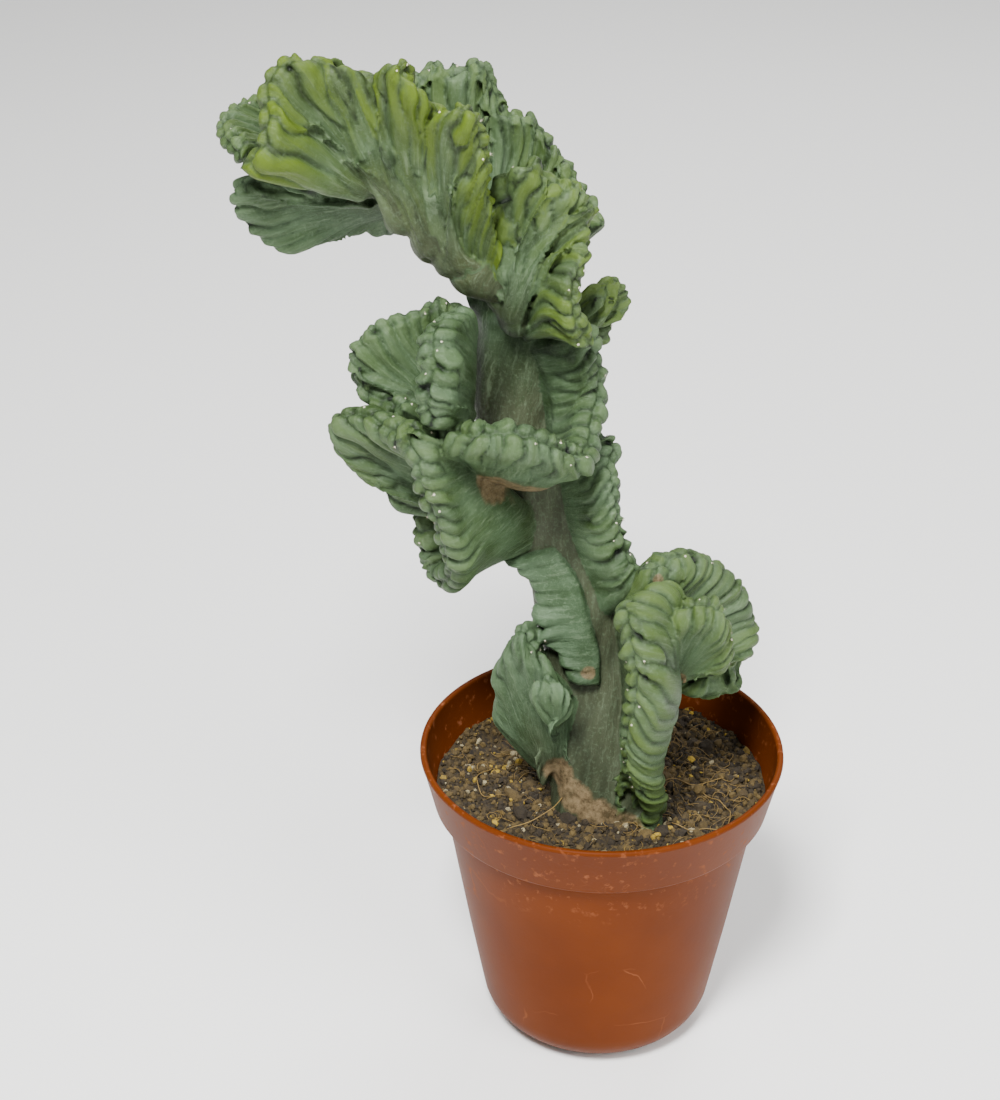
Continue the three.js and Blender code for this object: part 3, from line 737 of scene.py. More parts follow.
def crest_skin(crest, fineness, seed):
    """Vertices, faces, attributes and areole places of one crest's closed skin."""
    fine = np.linspace(0, 1, 400)
    arc = way_along(spline(crest["rim"], fine))
    columns = int(arc[-1] / fineness) + 2
    along_rim = np.linspace(0, arc[-1], columns)
    u = np.interp(along_rim, arc, fine)
    longest = np.linalg.norm(spline(crest["rim"], u) - spline(crest["root"], u), axis=1).max()
    # rows are closest together at the root and at the rim, where the sheet's edges are round
    rows = max(20, int(longest * 1.25 / fineness))
    v = (1 - np.cos(np.linspace(0, math.pi, rows))) / 2

    middle = sheet_middle(crest, u, v)
    waves, depth, shift = crest["ruffle"]
    wave = depth * np.sin(2 * math.pi * (waves * along_rim / arc[-1] + shift))
    middle = middle + sheet_normals(middle, v) * (wave[:, None] * v[None] ** 2)[..., None]
    outward = sheet_normals(middle, v)

    from_root = way_along(middle)
    to_rim = from_root[:, -1:] - from_root
    width = np.linalg.norm(np.gradient(middle, axis=0), axis=2)
    spread = np.clip(width / np.maximum(width[:, -1:], 1e-6), 0.05, 1.6)
    at_root, at_middle, at_rim = crest["half"]
    half = at_root * (1 - v) ** 2 + 2 * at_middle * v * (1 - v) + at_rim * v ** 2
    end = np.minimum(along_rim, along_rim[-1] - along_rim)[:, None] * np.clip(spread, 0.2, 1.0)
    half = half * round_end(to_rim, at_rim) * round_end(from_root, at_root)
    half = half * np.maximum(round_end(end, at_middle), 0.03)

    ring = both_faces(middle + outward * half[..., None], middle - outward * half[..., None])
    size = ring.shape[1]
    ones = np.ones((columns, rows))
    side = both_faces(ones, -ones)
    walked = way_along(ring)
    inward = np.abs(walked - walked[:, rows - 1:rows])
    height, radius, heads = rib_relief(
        crest, along_rim[:, None] * np.ones((1, size)), inward, side, both_faces(spread, spread), seed,
    )
    around = np.roll(ring, -1, axis=1) - np.roll(ring, 1, axis=1)
    normal = unit(np.cross(np.gradient(ring, axis=0), around))
    if np.sum(normal * (ring - both_faces(middle, middle)), axis=2).sum() < 0:
        normal = -normal

    # the ribs stand highest by the crest line and calm down on the face
    strength = smoothstep(0.02, 0.35, both_faces(v[None], v[None]) * np.ones((columns, 1)))
    reach, share = crest["calm"]
    calm = share * smoothstep(0.35 * reach, reach, inward)
    lift = np.minimum(1.25 * radius, RIB_HEIGHT) * height * (0.25 + 0.75 * strength) * (1 - calm)
    # a narrow furrow runs along the crest line
    lift = lift - 1.1 * strength * np.exp(-(inward / 0.9) ** 2)
    # towards the two ends of the rim the ribs run out
    lift = (lift - RIB_SINK) * smoothstep(0, RIB_RUN_OUT, both_faces(end, end))
    skin = ring + normal * lift[..., None]
    core = sheet_core(middle, outward, half, from_root[:, -1:])
    vertices = np.concatenate([skin.reshape(-1, 3), core.reshape(-1, 3)])
    faces = sheet_faces(columns, rows, size)
    faces += [[corner + side.size for corner in face] for face in faces]

    # the crown sets the wax on the ribs' crowns and the painted shade in the creases between them
    crown = height * (0.3 + 0.7 * strength)
    growth = dict(
        crown=crown + (EVEN_CROWN - crown) * calm,
        fresh=crest["lime"] * (0.3 + 0.7 * smoothstep(34, 6, inward)),
        down=inward * side,
        along=along_rim[:, None] * np.ones((1, size)),
        even=(calm / FULL_CALM) ** 2,
    )
    growth = {key: np.tile(values.ravel(), 2) for key, values in growth.items()}
    areoles = areoles_on(skin, normal, along_rim, inward, side, heads, seed + 500)
    return vertices, faces, growth, areoles


def trunk_skin(low, high, fineness):
    """Vertices, faces and attributes of a stretch of the trunk, which has no areoles."""
    place = spline(TRUNK, np.linspace(low, high, int(TRUNK_LENGTH * (high - low) / fineness) + 2))
    sides = int(TRUNK_GIRTH / fineness)
    angle = math.pi / 2 + np.linspace(0, 2 * math.pi, sides, endpoint=False)
    x = place[:, None, 0] + place[:, None, 3] * np.cos(angle)[None]
    y = place[:, None, 1] + place[:, None, 4] * np.sin(angle)[None]
    z = place[:, None, 2] + 0 * x
    # folds run along the trunk and lean a little
    folds = ripple(x - 0.25 * z, y, z * 0.12, 5, 13)
    rough = ripple(x, y, z * 0.5, 6, 4)
    swell = (1.1 * folds + 0.25 * rough) * smoothstep(94, 102, z)
    x = x + swell * np.cos(angle)[None]
    y = y + swell * np.sin(angle)[None]
    # the grain comes down from the top of the trunk and leans as the folds do
    # the folds set the crown, so their hollows get the painted crease shade
    growth = dict(
        crown=(0.62 + 0.3 * folds).ravel(), fresh=np.zeros(x.size), down=(TRUNK_TOP - z).ravel(),
        along=(12 * angle[None] + 0 * z - 0.25 * z).ravel(), even=np.ones(x.size),
    )
    return np.stack([x, y, z], axis=-1).reshape(-1, 3), closed_tube(*x.shape), growth, []


def nearest_points(vertices, places, count):
    """Numbers of the vertices nearest to each place, and how far away they are."""
    tree = kdtree.KDTree(len(vertices))
    for i, vertex in enumerate(vertices.tolist()):
        tree.insert(vertex, i)
    tree.balance()
    found = [tree.find_n(place, count) for place in places.tolist()]
    numbers = np.array([[hit[1] for hit in hits] for hits in found])
    return numbers, np.array([[hit[2] for hit in hits] for hits in found])


def cork_amount(places):
    """How corky the skin is at each place."""
    amount = np.zeros(len(places))
    for x, y, z, reach, strength in CORK:
        away = np.linalg.norm(places - [x, y, z], axis=1)
        amount = np.maximum(amount, strength * smoothstep(reach, 0.45 * reach, away))
    return amount


def plant_mass(name, settings):
    """One of the plant's masses: its crests and trunk grown into one skin."""
    crests, low, high = MASSES[name]
    fineness = 0.62
    voxel = settings.voxel
    order = list(CRESTS)
    parts = [trunk_skin(low, high, fineness)]
    for crest in crests:
        parts.append(crest_skin(CRESTS[crest], fineness, 10 + order.index(crest)))
    vertices, faces = join_parts([part[:2] for part in parts])
    growth = {key: np.concatenate([part[2][key] for part in parts]) for key in parts[0][2]}
    part_of = np.repeat(np.arange(len(parts)), [len(part[0]) for part in parts])
    AREOLES[name] = [areole for part in parts for areole in part[3]]

    piece = new_object(name, vertices, faces)
    apply_modifier(piece, "REMESH", mode="VOXEL", voxel_size=voxel * MM, use_smooth_shade=True)
    apply_modifier(piece, "SMOOTH", factor=0.5, iterations=1)
    triangles = 2 * len(piece.data.polygons)
    if triangles > settings.triangles:
        ratio = settings.triangles / triangles
        apply_modifier(piece, "DECIMATE", ratio=ratio, use_collapse_triangulate=True)

    # the skin's own growth is blended from the nearest points of the same crest
    nearest, away = nearest_points(vertices, positions(piece.data), 4)
    share = (part_of[nearest] == part_of[nearest[:, :1]]) / (away ** 2 + 0.02)
    share = share / share.sum(axis=1, keepdims=True)
    blended = {key: (values[nearest] * share).sum(axis=1) for key, values in growth.items()}
    # where crests have merged with the trunk, the skin has grown over the join
    weight = np.round(blended.pop("even"), 2)
    joined = piece.vertex_groups.new(name="joined")
    for step in np.unique(weight[weight > 0]):
        joined.add(np.flatnonzero(weight == step).tolist(), float(step), "REPLACE")
    for key, values in blended.items():
        set_attribute(piece.data, key, values)
    apply_modifier(piece, "SMOOTH", factor=0.5, iterations=settings.joining, vertex_group="joined")
    set_attribute(piece.data, "crest", part_of[nearest[:, 0]] * 31.0)
    set_attribute(piece.data, "cork", cork_amount(positions(piece.data)))
    piece.data.polygons.foreach_set("use_smooth", [True] * len(piece.data.polygons))
    return piece


def skin_material(settings):
    """The plant's skin, made once.

    Living cactus skin is a leathery green under a pale blue-grey wax.  The wax is matt and lies
    thick on the ribs' crowns, painted shade darkens the creases, and new growth near the crest
    line is lime.
    """
    name = "waxy_cactus_skin"
    if name in bpy.data.materials:
        return bpy.data.materials[name]
    material, tree, shader, place = new_material(name)
    crown = attribute(tree, "crown")
    fresh = attribute(tree, "fresh")
    down = attribute(tree, "down")
    depth = maths(tree, "ABSOLUTE", down)
    height = add_node(tree, "ShaderNodeSeparateXYZ", {"Vector": place}).outputs["Z"]
    # grain of the skin: it runs from the crest line down the faces, in millimetres
    grain_way = {
        "X": attribute(tree, "along"), "Y": maths(tree, "MULTIPLY", down, 0.1),
        "Z": attribute(tree, "crest"),
    }
    grain = add_node(tree, "ShaderNodeCombineXYZ", grain_way).outputs["Vector"]

    # wax in patches about 12 mm across, thickest on the crowns of the ribs and thicker low on
    # the plant, where nothing has rubbed it
    patches = noise(tree, place, 85.0, 5.0, 0.6)
    wax_high = remap(tree, crown, 0.3, 0.95, -0.05, 0.22)
    wax_low = remap(tree, height, 0.11, 0.2, 0.08, 0.0)
    wax = maths(tree, "ADD", patches, maths(tree, "ADD", wax_low, wax_high))
    body = mixed(tree, remap(tree, wax, 0.4, 0.75), settings.green, settings.bloom)

    # old skin, far from a crest line, has greyed, and young skin is olive all over
    body = mixed(tree, remap(tree, depth, 30.0, 60.0, 0.0, 0.75), body, "3C3C2C")
    body = mixed(tree, maths(tree, "MULTIPLY", fresh, 0.6), body, "3E4C1D")

    # pale and dark streaks 1.5 mm wide and 15 mm long follow the grain, strongest well below
    # the crest line
    streaks = noise(tree, grain, 0.8, 6.0, 0.7)
    streaked = maths(
        tree, "MULTIPLY",
        remap(tree, depth, 4.0, 26.0, 0.2, 0.5), remap(tree, depth, 40.0, 90.0, 1.0, 0.5),
    )
    pale = maths(tree, "MULTIPLY", remap(tree, streaks, 0.53, 0.66), streaked)
    body = mixed(tree, pale, body, settings.vein)
    dark = maths(tree, "MULTIPLY", remap(tree, streaks, 0.36, 0.47, 1.0, 0.0), streaked)
    body = mixed(tree, dark, body, settings.green)
    # dusty mottle of the wax, about 1 mm across
    mottle = noise(tree, place, 900.0, 4.0, 0.7)
    body = mixed(tree, remap(tree, mottle, 0.52, 0.75, 0.0, 0.3), body, "738A6C")

    # lime new growth on the crowns, in streaks 8 mm wide that follow the ribs
    lime_streaks = maths(tree, "ADD", noise(tree, grain, 0.16, 3.0, 0.7), wax_high)
    lime = maths(
        tree, "MULTIPLY", remap(tree, lime_streaks, 0.5, 0.72, 0.0, 0.9), remap(tree, crown, 0.4, 0.8),
    )
    body = mixed(tree, maths(tree, "MULTIPLY", fresh, lime), body, settings.lime)
    # painted shade: where the crown is low, in the creases between ribs, the skin is darkened towards
    # the crease colour
    body = mixed(tree, remap(tree, crown, 0.1, 0.62, 0.95, 0.0), body, settings.crease_shade)

    # cork: dry bark in flakes of about 3 mm, with a ragged edge
    flakes = noise(tree, place, 330.0, 6.0, 0.75)
    bark = mixed(tree, remap(tree, flakes, 0.38, 0.62), "4A3A26", "8A7557")
    ragged = maths(tree, "ADD", attribute(tree, "cork"), noise(tree, place, 150.0, 5.0, 0.7))
    body = mixed(tree, remap(tree, ragged, 0.9, 1.25, 0.0, 0.75), body, bark)

    set_shader(
        tree, shader, Base_Color=body, Roughness=remap(tree, patches, 0.3, 0.7, 0.42, 0.6),
        IOR=1.42, Specular_IOR_Level=0.25,
    )
    # pores about 0.5 mm apart, and over them the grain
    raise_relief(tree, shader, noise(tree, place, 1900.0, 3.0), 0.3, 0.0003)
    raise_relief(tree, shader, streaks, 0.5, 0.0012)
    return material


# ---- areoles ----------------------------------------------------------------------------
def ball_of(subdivisions):
    """Vertices and triangles of a unit icosphere, modelled once for its copies."""
    bpy.ops.object.select_all(action="DESELECT")
    bpy.ops.mesh.primitive_ico_sphere_add(subdivisions=subdivisions, radius=1.0)
    ball = bpy.context.object
    vertices = np.array([tuple(vertex.co) for vertex in ball.data.vertices])
    faces = np.array([tuple(face.vertices) for face in ball.data.polygons])
    remove_object(ball)
    return vertices, faces


def upright(normals, rng):
    """Turning matrices whose third column is each normal, spun by a random angle."""
    normals = unit(np.asarray(normals, float))
    first = unit(np.cross(normals, unit(rng.normal(size=normals.shape))))
    second = np.cross(normals, first)
    return np.stack([first, second, normals], axis=-1)


def copies_of(vertices, faces, turns, places):
    """Copies of a shape, each under its own matrix and at its own place, as one mesh's lists."""
    moved = np.einsum("nij,nvj->nvi", turns, vertices) + places[:, None]
    start = (np.arange(len(places)) * vertices.shape[1])[:, None, None]
    return moved.reshape(-1, 3), (faces[None] + start).reshape(-1, faces.shape[1]).tolist()


def areole_places():
    """Areoles set down on the finished skins: places, normals and sizes."""
    found = []
    for name, areoles in AREOLES.items():
        mass = bpy.data.objects[name]
        tree = bvhtree.BVHTree.FromObject(mass, bpy.context.evaluated_depsgraph_get())
        # each is dropped from 3 mm outside, for at most 6 mm
        for place, normal, size in areoles:
            start = Vector((place + 3 * unit(normal)) * MM)
            hit, facing = tree.ray_cast(start, Vector(-unit(normal)), 6 * MM)[:2]
            if hit is not None:
                found.append((np.array(hit) / MM, np.array(facing), size))
    if not found:
        raise RuntimeError("the plant's masses are made before its areoles")
    return [np.array(column) for column in zip(*found)]


def wool_pads(places, normals, sizes):
    """The woolly cushions of the areoles."""
    rng = np.random.default_rng(71)
    vertices, faces = ball_of(1)
    lumps = vertices[None] * rng.uniform(0.75, 1.3, (len(places), len(vertices), 1))
    lumps = lumps * (sizes[:, None] * np.array([[0.55, 0.55, 0.4]]))[:, None]
    moved, triangles = copies_of(lumps, faces, upright(normals, rng), places)
    return new_object("areole_wool", moved, triangles)


def spine_sets(places, normals, sizes):
    """One to three short spines on each areole."""
    rng = np.random.default_rng(72)
    roots = []
    ways = []
    stretch = []
    for place, normal, size in zip(places, normals, sizes):
        for _ in range(int(rng.integers(1, 4))):
            roots.append(place)
            ways.append(unit(normal + 0.55 * rng.normal(size=3)))
            stretch.append([1, 1, size * rng.uniform(0.9, 1.7)])
    # a spine is a thin three-sided spike of length 1, a little sunk at its root
    corners = np.array([[0.1, 0, -0.2], [-0.05, 0.09, -0.2], [-0.05, -0.09, -0.2], [0, 0, 1.0]])
    faces = np.array([[0, 2, 1], [0, 1, 3], [1, 2, 3], [2, 0, 3]])
    shapes = corners[None] * np.array(stretch)[:, None]
    moved, triangles = copies_of(shapes, faces, upright(ways, rng), np.array(roots))
    return new_object("short_spines", moved, triangles, smooth=False)


def wool_material():
    """Areole wool: short white felt, matt and a little yellow with age."""
    material, tree, shader, place = new_material("white_areole_felt")
    # strands about 0.3 mm across
    strands = noise(tree, place, 3000.0, 3.0)
    body = mixed(tree, strands, "9C967E", "D6D3C0")
    set_shader(tree, shader, Base_Color=body, Roughness=0.95)
    raise_relief(tree, shader, strands, 0.6, 0.0003)
    return material


def spine_material():
    """Spines: dry horn, pale and brown in patches of about 1 mm."""
    material, tree, shader, place = new_material("dry_horn_spine")
    body = mixed(tree, noise(tree, place, 900.0, 2.0), "4A3A2A", "CFC3A8")
    set_shader(tree, shader, Base_Color=body, Roughness=0.5)
    return material


# ---- pot --------------------------------------------------------------------------------
def body_radius(z):
    """Outside radius of the pot's body at a height."""
    return BODY_FOOT_RADIUS + (BODY_TOP_RADIUS - BODY_FOOT_RADIUS) * z / BODY_TOP


def pot_outline(inset, steps=10):
    """Radius and height of the outside from the foot to the collar, moved inwards by inset."""
    corner = FOOT_CORNER - inset
    centre = BODY_FOOT_RADIUS + 2 - FOOT_CORNER
    points = []
    for i in range(steps + 1):
        turn = math.pi / 2 * i / steps * 0.92
        points.append((centre + corner * math.sin(turn), FOOT_CORNER - corner * math.cos(turn)))
    points.append((body_radius(40) - inset, 40))
    points.append((body_radius(BODY_TOP - 1.4) - inset, BODY_TOP - 1.4))
    points.append((body_radius(BODY_TOP) - inset + 0.25, BODY_TOP))
    points.append((COLLAR_RADIUS - inset - 0.5, COLLAR_BOTTOM - 0.2))
    points.append((COLLAR_RADIUS - inset, COLLAR_BOTTOM + 0.6))
    return points


def pot_profile():
    """Whole profile of the pot: underside, outside, rolled lip, inside and floor."""
    lip = []
    for i in range(11):
        turn = -0.9 + (math.pi + 1.1) * i / 10
        lip.append((
            RIM_RADIUS - LIP_RADIUS + LIP_RADIUS * math.cos(turn),
            POT_HEIGHT - LIP_RADIUS + LIP_RADIUS * math.sin(turn),
        ))
    return pot_outline(0) + lip + pot_outline(POT_WALL)[::-1]


def make_pot():
    """The pot, drawn up from its underside ring by ring."""
    profile = pot_profile()
    bpy.ops.object.select_all(action="DESELECT")
    bpy.ops.mesh.primitive_circle_add(
        vertices=POT_SECTORS, radius=profile[0][0] * MM, fill_type="NGON",
        location=(0, 0, profile[0][1] * MM),
    )
    pot = bpy.context.object
    pot.name = "nursery_pot"
    bpy.ops.object.transform_apply(location=True)
    bpy.ops.object.mode_set(mode="EDIT")
    bpy.ops.mesh.select_all(action="SELECT")
    bpy.ops.mesh.flip_normals()
    for (radius, height), (next_radius, next_height) in zip(profile, profile[1:]):
        bpy.ops.mesh.extrude_region_move(
            TRANSFORM_OT_translate={"value": (0, 0, (next_height - height) * MM)},
        )
        share = next_radius / radius
        bpy.ops.transform.resize(value=(share, share, 1), center_override=(0, 0, next_height * MM))
    bpy.ops.object.mode_set(mode="OBJECT")
    return pot


def drill_drains(pot):
    """Cuts the drain holes through the foot."""
    for i in range(DRAIN_COUNT):
        turn = 2 * math.pi * (i + 0.5) / DRAIN_COUNT
        bpy.ops.object.select_all(action="DESELECT")
        bpy.ops.mesh.primitive_cylinder_add(
            vertices=32, radius=DRAIN_RADIUS * MM, depth=16 * MM,
            location=(DRAIN_CIRCLE * math.cos(turn) * MM, DRAIN_CIRCLE * math.sin(turn) * MM, 3 * MM),
        )
        drill = bpy.context.object
        apply_modifier(pot, "BOOLEAN", operation="DIFFERENCE", object=drill, solver="EXACT")
        remove_object(drill)


def pot_material(settings):
    """Nursery pot: thin injection-moulded polypropylene in a terracotta colour.

    It is a little waxy and takes a soft broad shine, with pale scuffs and a bloom of lime
    from hard water under the collar and on the rim.
    """
    material, tree, shader, place = new_material("moulded_polypropylene")
    # cloudy colour about 40 mm across
    clouds = noise(tree, place, 25.0, 4.0)
    body = mixed(tree, remap(tree, clouds, 0.3, 0.7), settings.dark, settings.colour)

    # hair scratches: edges of wandering cells about 30 mm across, kept in a few places only
    wander = add_node(tree, "ShaderNodeTexNoise", {"Vector": place, "Scale": 60.0, "Detail": 3.0})
    bent = add_node(
        tree, "ShaderNodeMix", {0: 0.012, 6: place, 7: wander.outputs["Color"]},
        data_type="RGBA", blend_type="ADD",
    ).outputs[2]
    cells = add_node(
        tree, "ShaderNodeTexVoronoi", {"Vector": bent, "Scale": 34.0}, feature="DISTANCE_TO_EDGE",
    ).outputs["Distance"]
    kept = remap(tree, noise(tree, place, 38.0, 2.0), 0.55, 0.64, 0.0, 0.35)
    scratch = maths(tree, "MULTIPLY", remap(tree, cells, 0.0, 0.012, 1.0, 0.0), kept)

    # lime smudges about 3 mm across, only high on the pot
    height = add_node(tree, "ShaderNodeSeparateXYZ", {"Vector": place}).outputs["Z"]
    smudges = remap(tree, noise(tree, place, 330.0, 5.0, 0.6), 0.58, 0.70, 0.0, 0.4)
    smudge = maths(tree, "MULTIPLY", remap(tree, height, 0.068, 0.084), smudges)
    marks = maths(tree, "MAXIMUM", scratch, smudge)
    set_shader(
        tree, shader, Base_Color=mixed(tree, marks, body, "A86848"),
        Roughness=remap(tree, marks, 0.0, 0.5, 0.5, 0.8), IOR=1.49, Specular_IOR_Level=0.06,
    )
    # the mould's faint orange peel, about 1 mm
    raise_relief(tree, shader, noise(tree, place, 900.0, 2.0), 0.12, 0.0002)
    return material


# ---- soil -------------------------------------------------------------------------------
def from_foot(x, y):
    """How far a place is outside the trunk's foot, in millimetres."""
    middle_x, middle_y, half_long, half_short, turn = FOOT
    dx = x - middle_x
    dy = y - middle_y
    long = dx * math.cos(turn) + dy * math.sin(turn)
    short = dy * math.cos(turn) - dx * math.sin(turn)
    return (np.hypot(long / half_long, short / half_short) - 1) * half_short


def mound(x, y, shape):
    """A round hump of height 1 from its middle x, y and the square of its width."""
    middle_x, middle_y, breadth = shape
    return np.exp(-((x - middle_x) ** 2 + (y - middle_y) ** 2) / breadth)


def soil_height(x, y):
    """Height of the soil before its fine crumb."""
    rough = 0.9 * np.sin(0.31 * x + 1.3) * np.cos(0.27 * y) + 0.7 * np.sin(0.53 * y - 0.4 * x)
    hollow = -HOLLOW_DEPTH * mound(x, y, HOLLOW)
    away = smoothstep(2, 12, from_foot(x, y))
    from_wall = 1 - smoothstep(44, 53, np.hypot(x, y))
    return SOIL_TOP + away * (rough + from_wall * hollow)


def make_soil():
    """The soil: a turned body with a crumbly top."""
    sectors = 320
    rings = 105
    wall = [(radius, z) for radius, z in pot_outline(POT_WALL + 0.3) if z < SOIL_TOP - 4]
    turn = np.linspace(0, 2 * math.pi, sectors, endpoint=False)
    rows = []
    for radius, z in wall + [(SOIL_RADIUS, SOIL_TOP - 2.2)]:
        rows.append(np.stack([radius * np.cos(turn), radius * np.sin(turn), np.full(sectors, z)], -1))
    for i in range(rings):
        radius = SOIL_RADIUS * (1 - i / rings)
        x = radius * np.cos(turn)
        y = radius * np.sin(turn)
        crumb = 0.55 * ripple(x, y, 0 * x, 21, 5.5) + 0.35 * ripple(x, y, 0 * x, 22, 1.9)
        edge = smoothstep(0.94, 1.0, radius / SOIL_RADIUS)
        z = soil_height(x, y) + crumb * (1 - edge) - 0.9 * edge - CRUMB_DEPTH
        rows.append(np.stack([x, y, z], -1))
    ends = [[0, 0, wall[0][1]], [0, 0, soil_height(0.0, 0.0) - CRUMB_DEPTH]]
    vertices = np.concatenate(rows + [ends])
    faces, index = ring_faces(len(rows), sectors)
    bottom = len(vertices) - 2
    for k in range(sectors):
        after = (k + 1) % sectors
        faces.append([bottom, int(index[0][after]), int(index[0][k])])
        faces.append([bottom + 1, int(index[-1][k]), int(index[-1][after])])
    return new_object("potting_soil", vertices, faces)


def make_grit(name, count, small, large, subdivisions, seed):
    """Angular grains strewn on the soil, each with its own tone; fewer lie on the bare peat.

    small and large are the least and greatest radius, and most grains are near the least.
    """
    rng = np.random.default_rng(seed)
    vertices, faces = ball_of(subdivisions)
    places = []
    sizes = []
    tones = []
    while len(places) < count:
        turn = rng.uniform(0, 2 * math.pi)
        size = small + (large - small) * rng.uniform() ** 2.2
        away = (SOIL_RADIUS - size - 0.5) * math.sqrt(rng.uniform())
        x = away * math.cos(turn)
        y = away * math.sin(turn)
        if from_foot(x, y) < 0.6 * size:
            continue
        # most grains are missing on the bare peat, and those that lie there are pale
        peat = mound(x, y, PEAT)
        if rng.uniform() < 0.72 * peat:
            continue
        places.append((x, y, soil_height(x, y) - 0.35 + rng.uniform(-0.3, 0.35) * size))
        sizes.append(size)
        tones.append(rng.uniform() if peat < 0.35 else 0.6 + 0.4 * rng.uniform())
    stretch = rng.uniform(0.62, 1.25, (count, 1, 3))
    lumps = vertices[None] * rng.uniform(0.78, 1.2, (count, len(vertices), 1)) * stretch
    lumps = lumps * np.array(sizes)[:, None, None]
    turns = upright(rng.normal(size=(count, 3)), rng)
    moved, triangles = copies_of(lumps, faces, turns, np.array(places))
    grit = new_object(name, moved, triangles, smooth=False)
    set_attribute(grit.data, "tone", np.repeat(tones, len(vertices)))
    return grit


def tube_round(points, radius, sides=4):
    """Vertices and faces of a thin closed tube along points."""
    way = unit(np.gradient(points, axis=0))
    first = unit(np.cross(way, [0.13, 0.21, 0.97]))
    second = np.cross(way, first)
    turn = np.linspace(0, 2 * math.pi, sides, endpoint=False)
    thin = radius * np.concatenate([np.linspace(1, 0.9, len(points) - 1), [0.3]])
    rings = points[:, None] + thin[:, None, None] * (
        np.cos(turn)[None, :, None] * first[:, None] + np.sin(turn)[None, :, None] * second[:, None]
    )
    return rings.reshape(-1, 3), closed_tube(len(points), sides)


def fibre_path(rng, x, y, steps=9, step=0.9):
    """A curling line over the soil that starts at a place."""
    heading = rng.uniform(0, 2 * math.pi)
    bend = rng.uniform(-0.5, 0.5)
    points = []
    for _ in range(steps):
        points.append((x, y))
        x += step * math.cos(heading)
        y += step * math.sin(heading)
        heading += bend + rng.uniform(-0.35, 0.35)
    return np.array(points)


def make_fibres():
    """Bared roots, and coir fibres on the soil, more of them on the right."""
    rng = np.random.default_rng(41)
    strands = []
    for root in ROOTS:
        path = spline(root, np.linspace(0, 1, 26))
        height = soil_height(path[:, 0], path[:, 1]) + path[:, 2]
        strands.append((np.column_stack([path[:, :2], height]), 0.2))
    while len(strands) < STRAND_COUNT:
        turn = rng.uniform(0, 2 * math.pi)
        away = 50 * math.sqrt(rng.uniform())
        x = away * math.cos(turn)
        y = away * math.sin(turn)
        if from_foot(x, y) < 3 or rng.uniform() > 0.45 + 0.55 * (x > 0):
            continue
        path = fibre_path(rng, x, y)
        furthest = np.hypot(path[:, 0], path[:, 1]).max()
        if furthest > SOIL_RADIUS - 1.5 or from_foot(path[:, 0], path[:, 1]).min() < 1:
            continue
        arch = rng.uniform(0.2, 1.6) * np.sin(np.linspace(0, math.pi, len(path)))
        height = soil_height(path[:, 0], path[:, 1]) + 0.5 + arch
        strands.append((np.column_stack([path, height]), rng.uniform(0.06, 0.12)))
    return new_object("root_fibres", *join_parts([tube_round(*strand) for strand in strands]))


def soil_material():
    """Potting soil: damp peat and coir, dark, dull and crumbly, with olive dust on it."""
    material, tree, shader, place = new_material("damp_peat_and_coir")
    # crumbs about 2 mm across
    crumbs = noise(tree, place, 480.0, 6.0, 0.7)
    body = mixed(tree, remap(tree, crumbs, 0.38, 0.66), "130D06", "463819")
    set_shader(tree, shader, Base_Color=body, Roughness=0.95)
    raise_relief(tree, shader, crumbs, 0.9, 0.0012)
    return material


def grit_material():
    """Grit: crushed pumice, lava and bark, broken and dusty, from brown-black to pale tan.

    A grain's tone runs from 0 to 1; the few highest tones are white perlite and yellow pumice.
    """
    material, tree, shader, place = new_material("crushed_pumice_grit")
    tone = attribute(tree, "tone")
    body = mixed(tree, remap(tree, tone, 0.3, 1.0), "1B1409", "5F4D25")
    body = mixed(tree, remap(tree, tone, 0.965, 0.975), body, "A0842A")
    below_yellow = maths(tree, "LESS_THAN", tone, 0.965)
    perlite = maths(tree, "MULTIPLY", remap(tree, tone, 0.925, 0.935, 0.0, 0.8), below_yellow)
    body = mixed(tree, perlite, body, "9C9272")
    # dust and pores about 0.7 mm across
    dust = noise(tree, place, 1400.0, 4.0, 0.7)
    body = mixed(tree, remap(tree, dust, 0.35, 0.65, 0.0, 0.5), body, "362B14")
    set_shader(tree, shader, Base_Color=body, Roughness=0.9)
    raise_relief(tree, shader, dust, 0.7, 0.0005)
    return material


def fibre_material():
    """Roots and coir: dry tan plant fibre with a slight silky shine."""
    material, tree, shader, place = new_material("dry_root_fibre")
    body = mixed(tree, noise(tree, place, 120.0, 2.0), "4F3A16", "8C7238")
    set_shader(tree, shader, Base_Color=body, Roughness=0.65)
    return material


# ---- settings ---------------------------------------------------------------------------
def colour_setting(name, code, description):
    """A colour in the add-on's settings."""
    return bpy.props.FloatVectorProperty(
        name=name, description=description, subtype="COLOR", size=4, min=0, max=1,
        default=to_linear(code),
    )


class PlantSettings(bpy.types.PropertyGroup):
    """Detail and colours of the plant."""

    voxel: bpy.props.FloatProperty(
        name="Skin detail", description="Finest fold that the skin keeps, in millimetres",
        default=0.5, min=0.3, max=2.0,
    )
    triangles: bpy.props.IntProperty(
        name="Triangles", description="Most triangles in each mass of the plant",
        default=176000, min=10000, max=190000,
    )
    joining: bpy.props.IntProperty(
        name="Joining", description="Rounds of smoothing where crests merge with the trunk",
        default=24, min=0, max=200,
    )
    green: colour_setting("Skin", "26381E", "Green skin where the wax has rubbed off")
    bloom: colour_setting("Bloom", "485C43", "Pale wax over the skin")
    lime: colour_setting("New growth", "4A5D10", "Yellow-green of young ribs")
    # painted shade: the near-black green that stands in for the shade in the creases between ribs
    crease_shade: colour_setting("Crease", "081007", "Dark green in the creases between ribs")
    vein: colour_setting("Vein", "6E7F64", "Pale streaks along the grain of the skin")


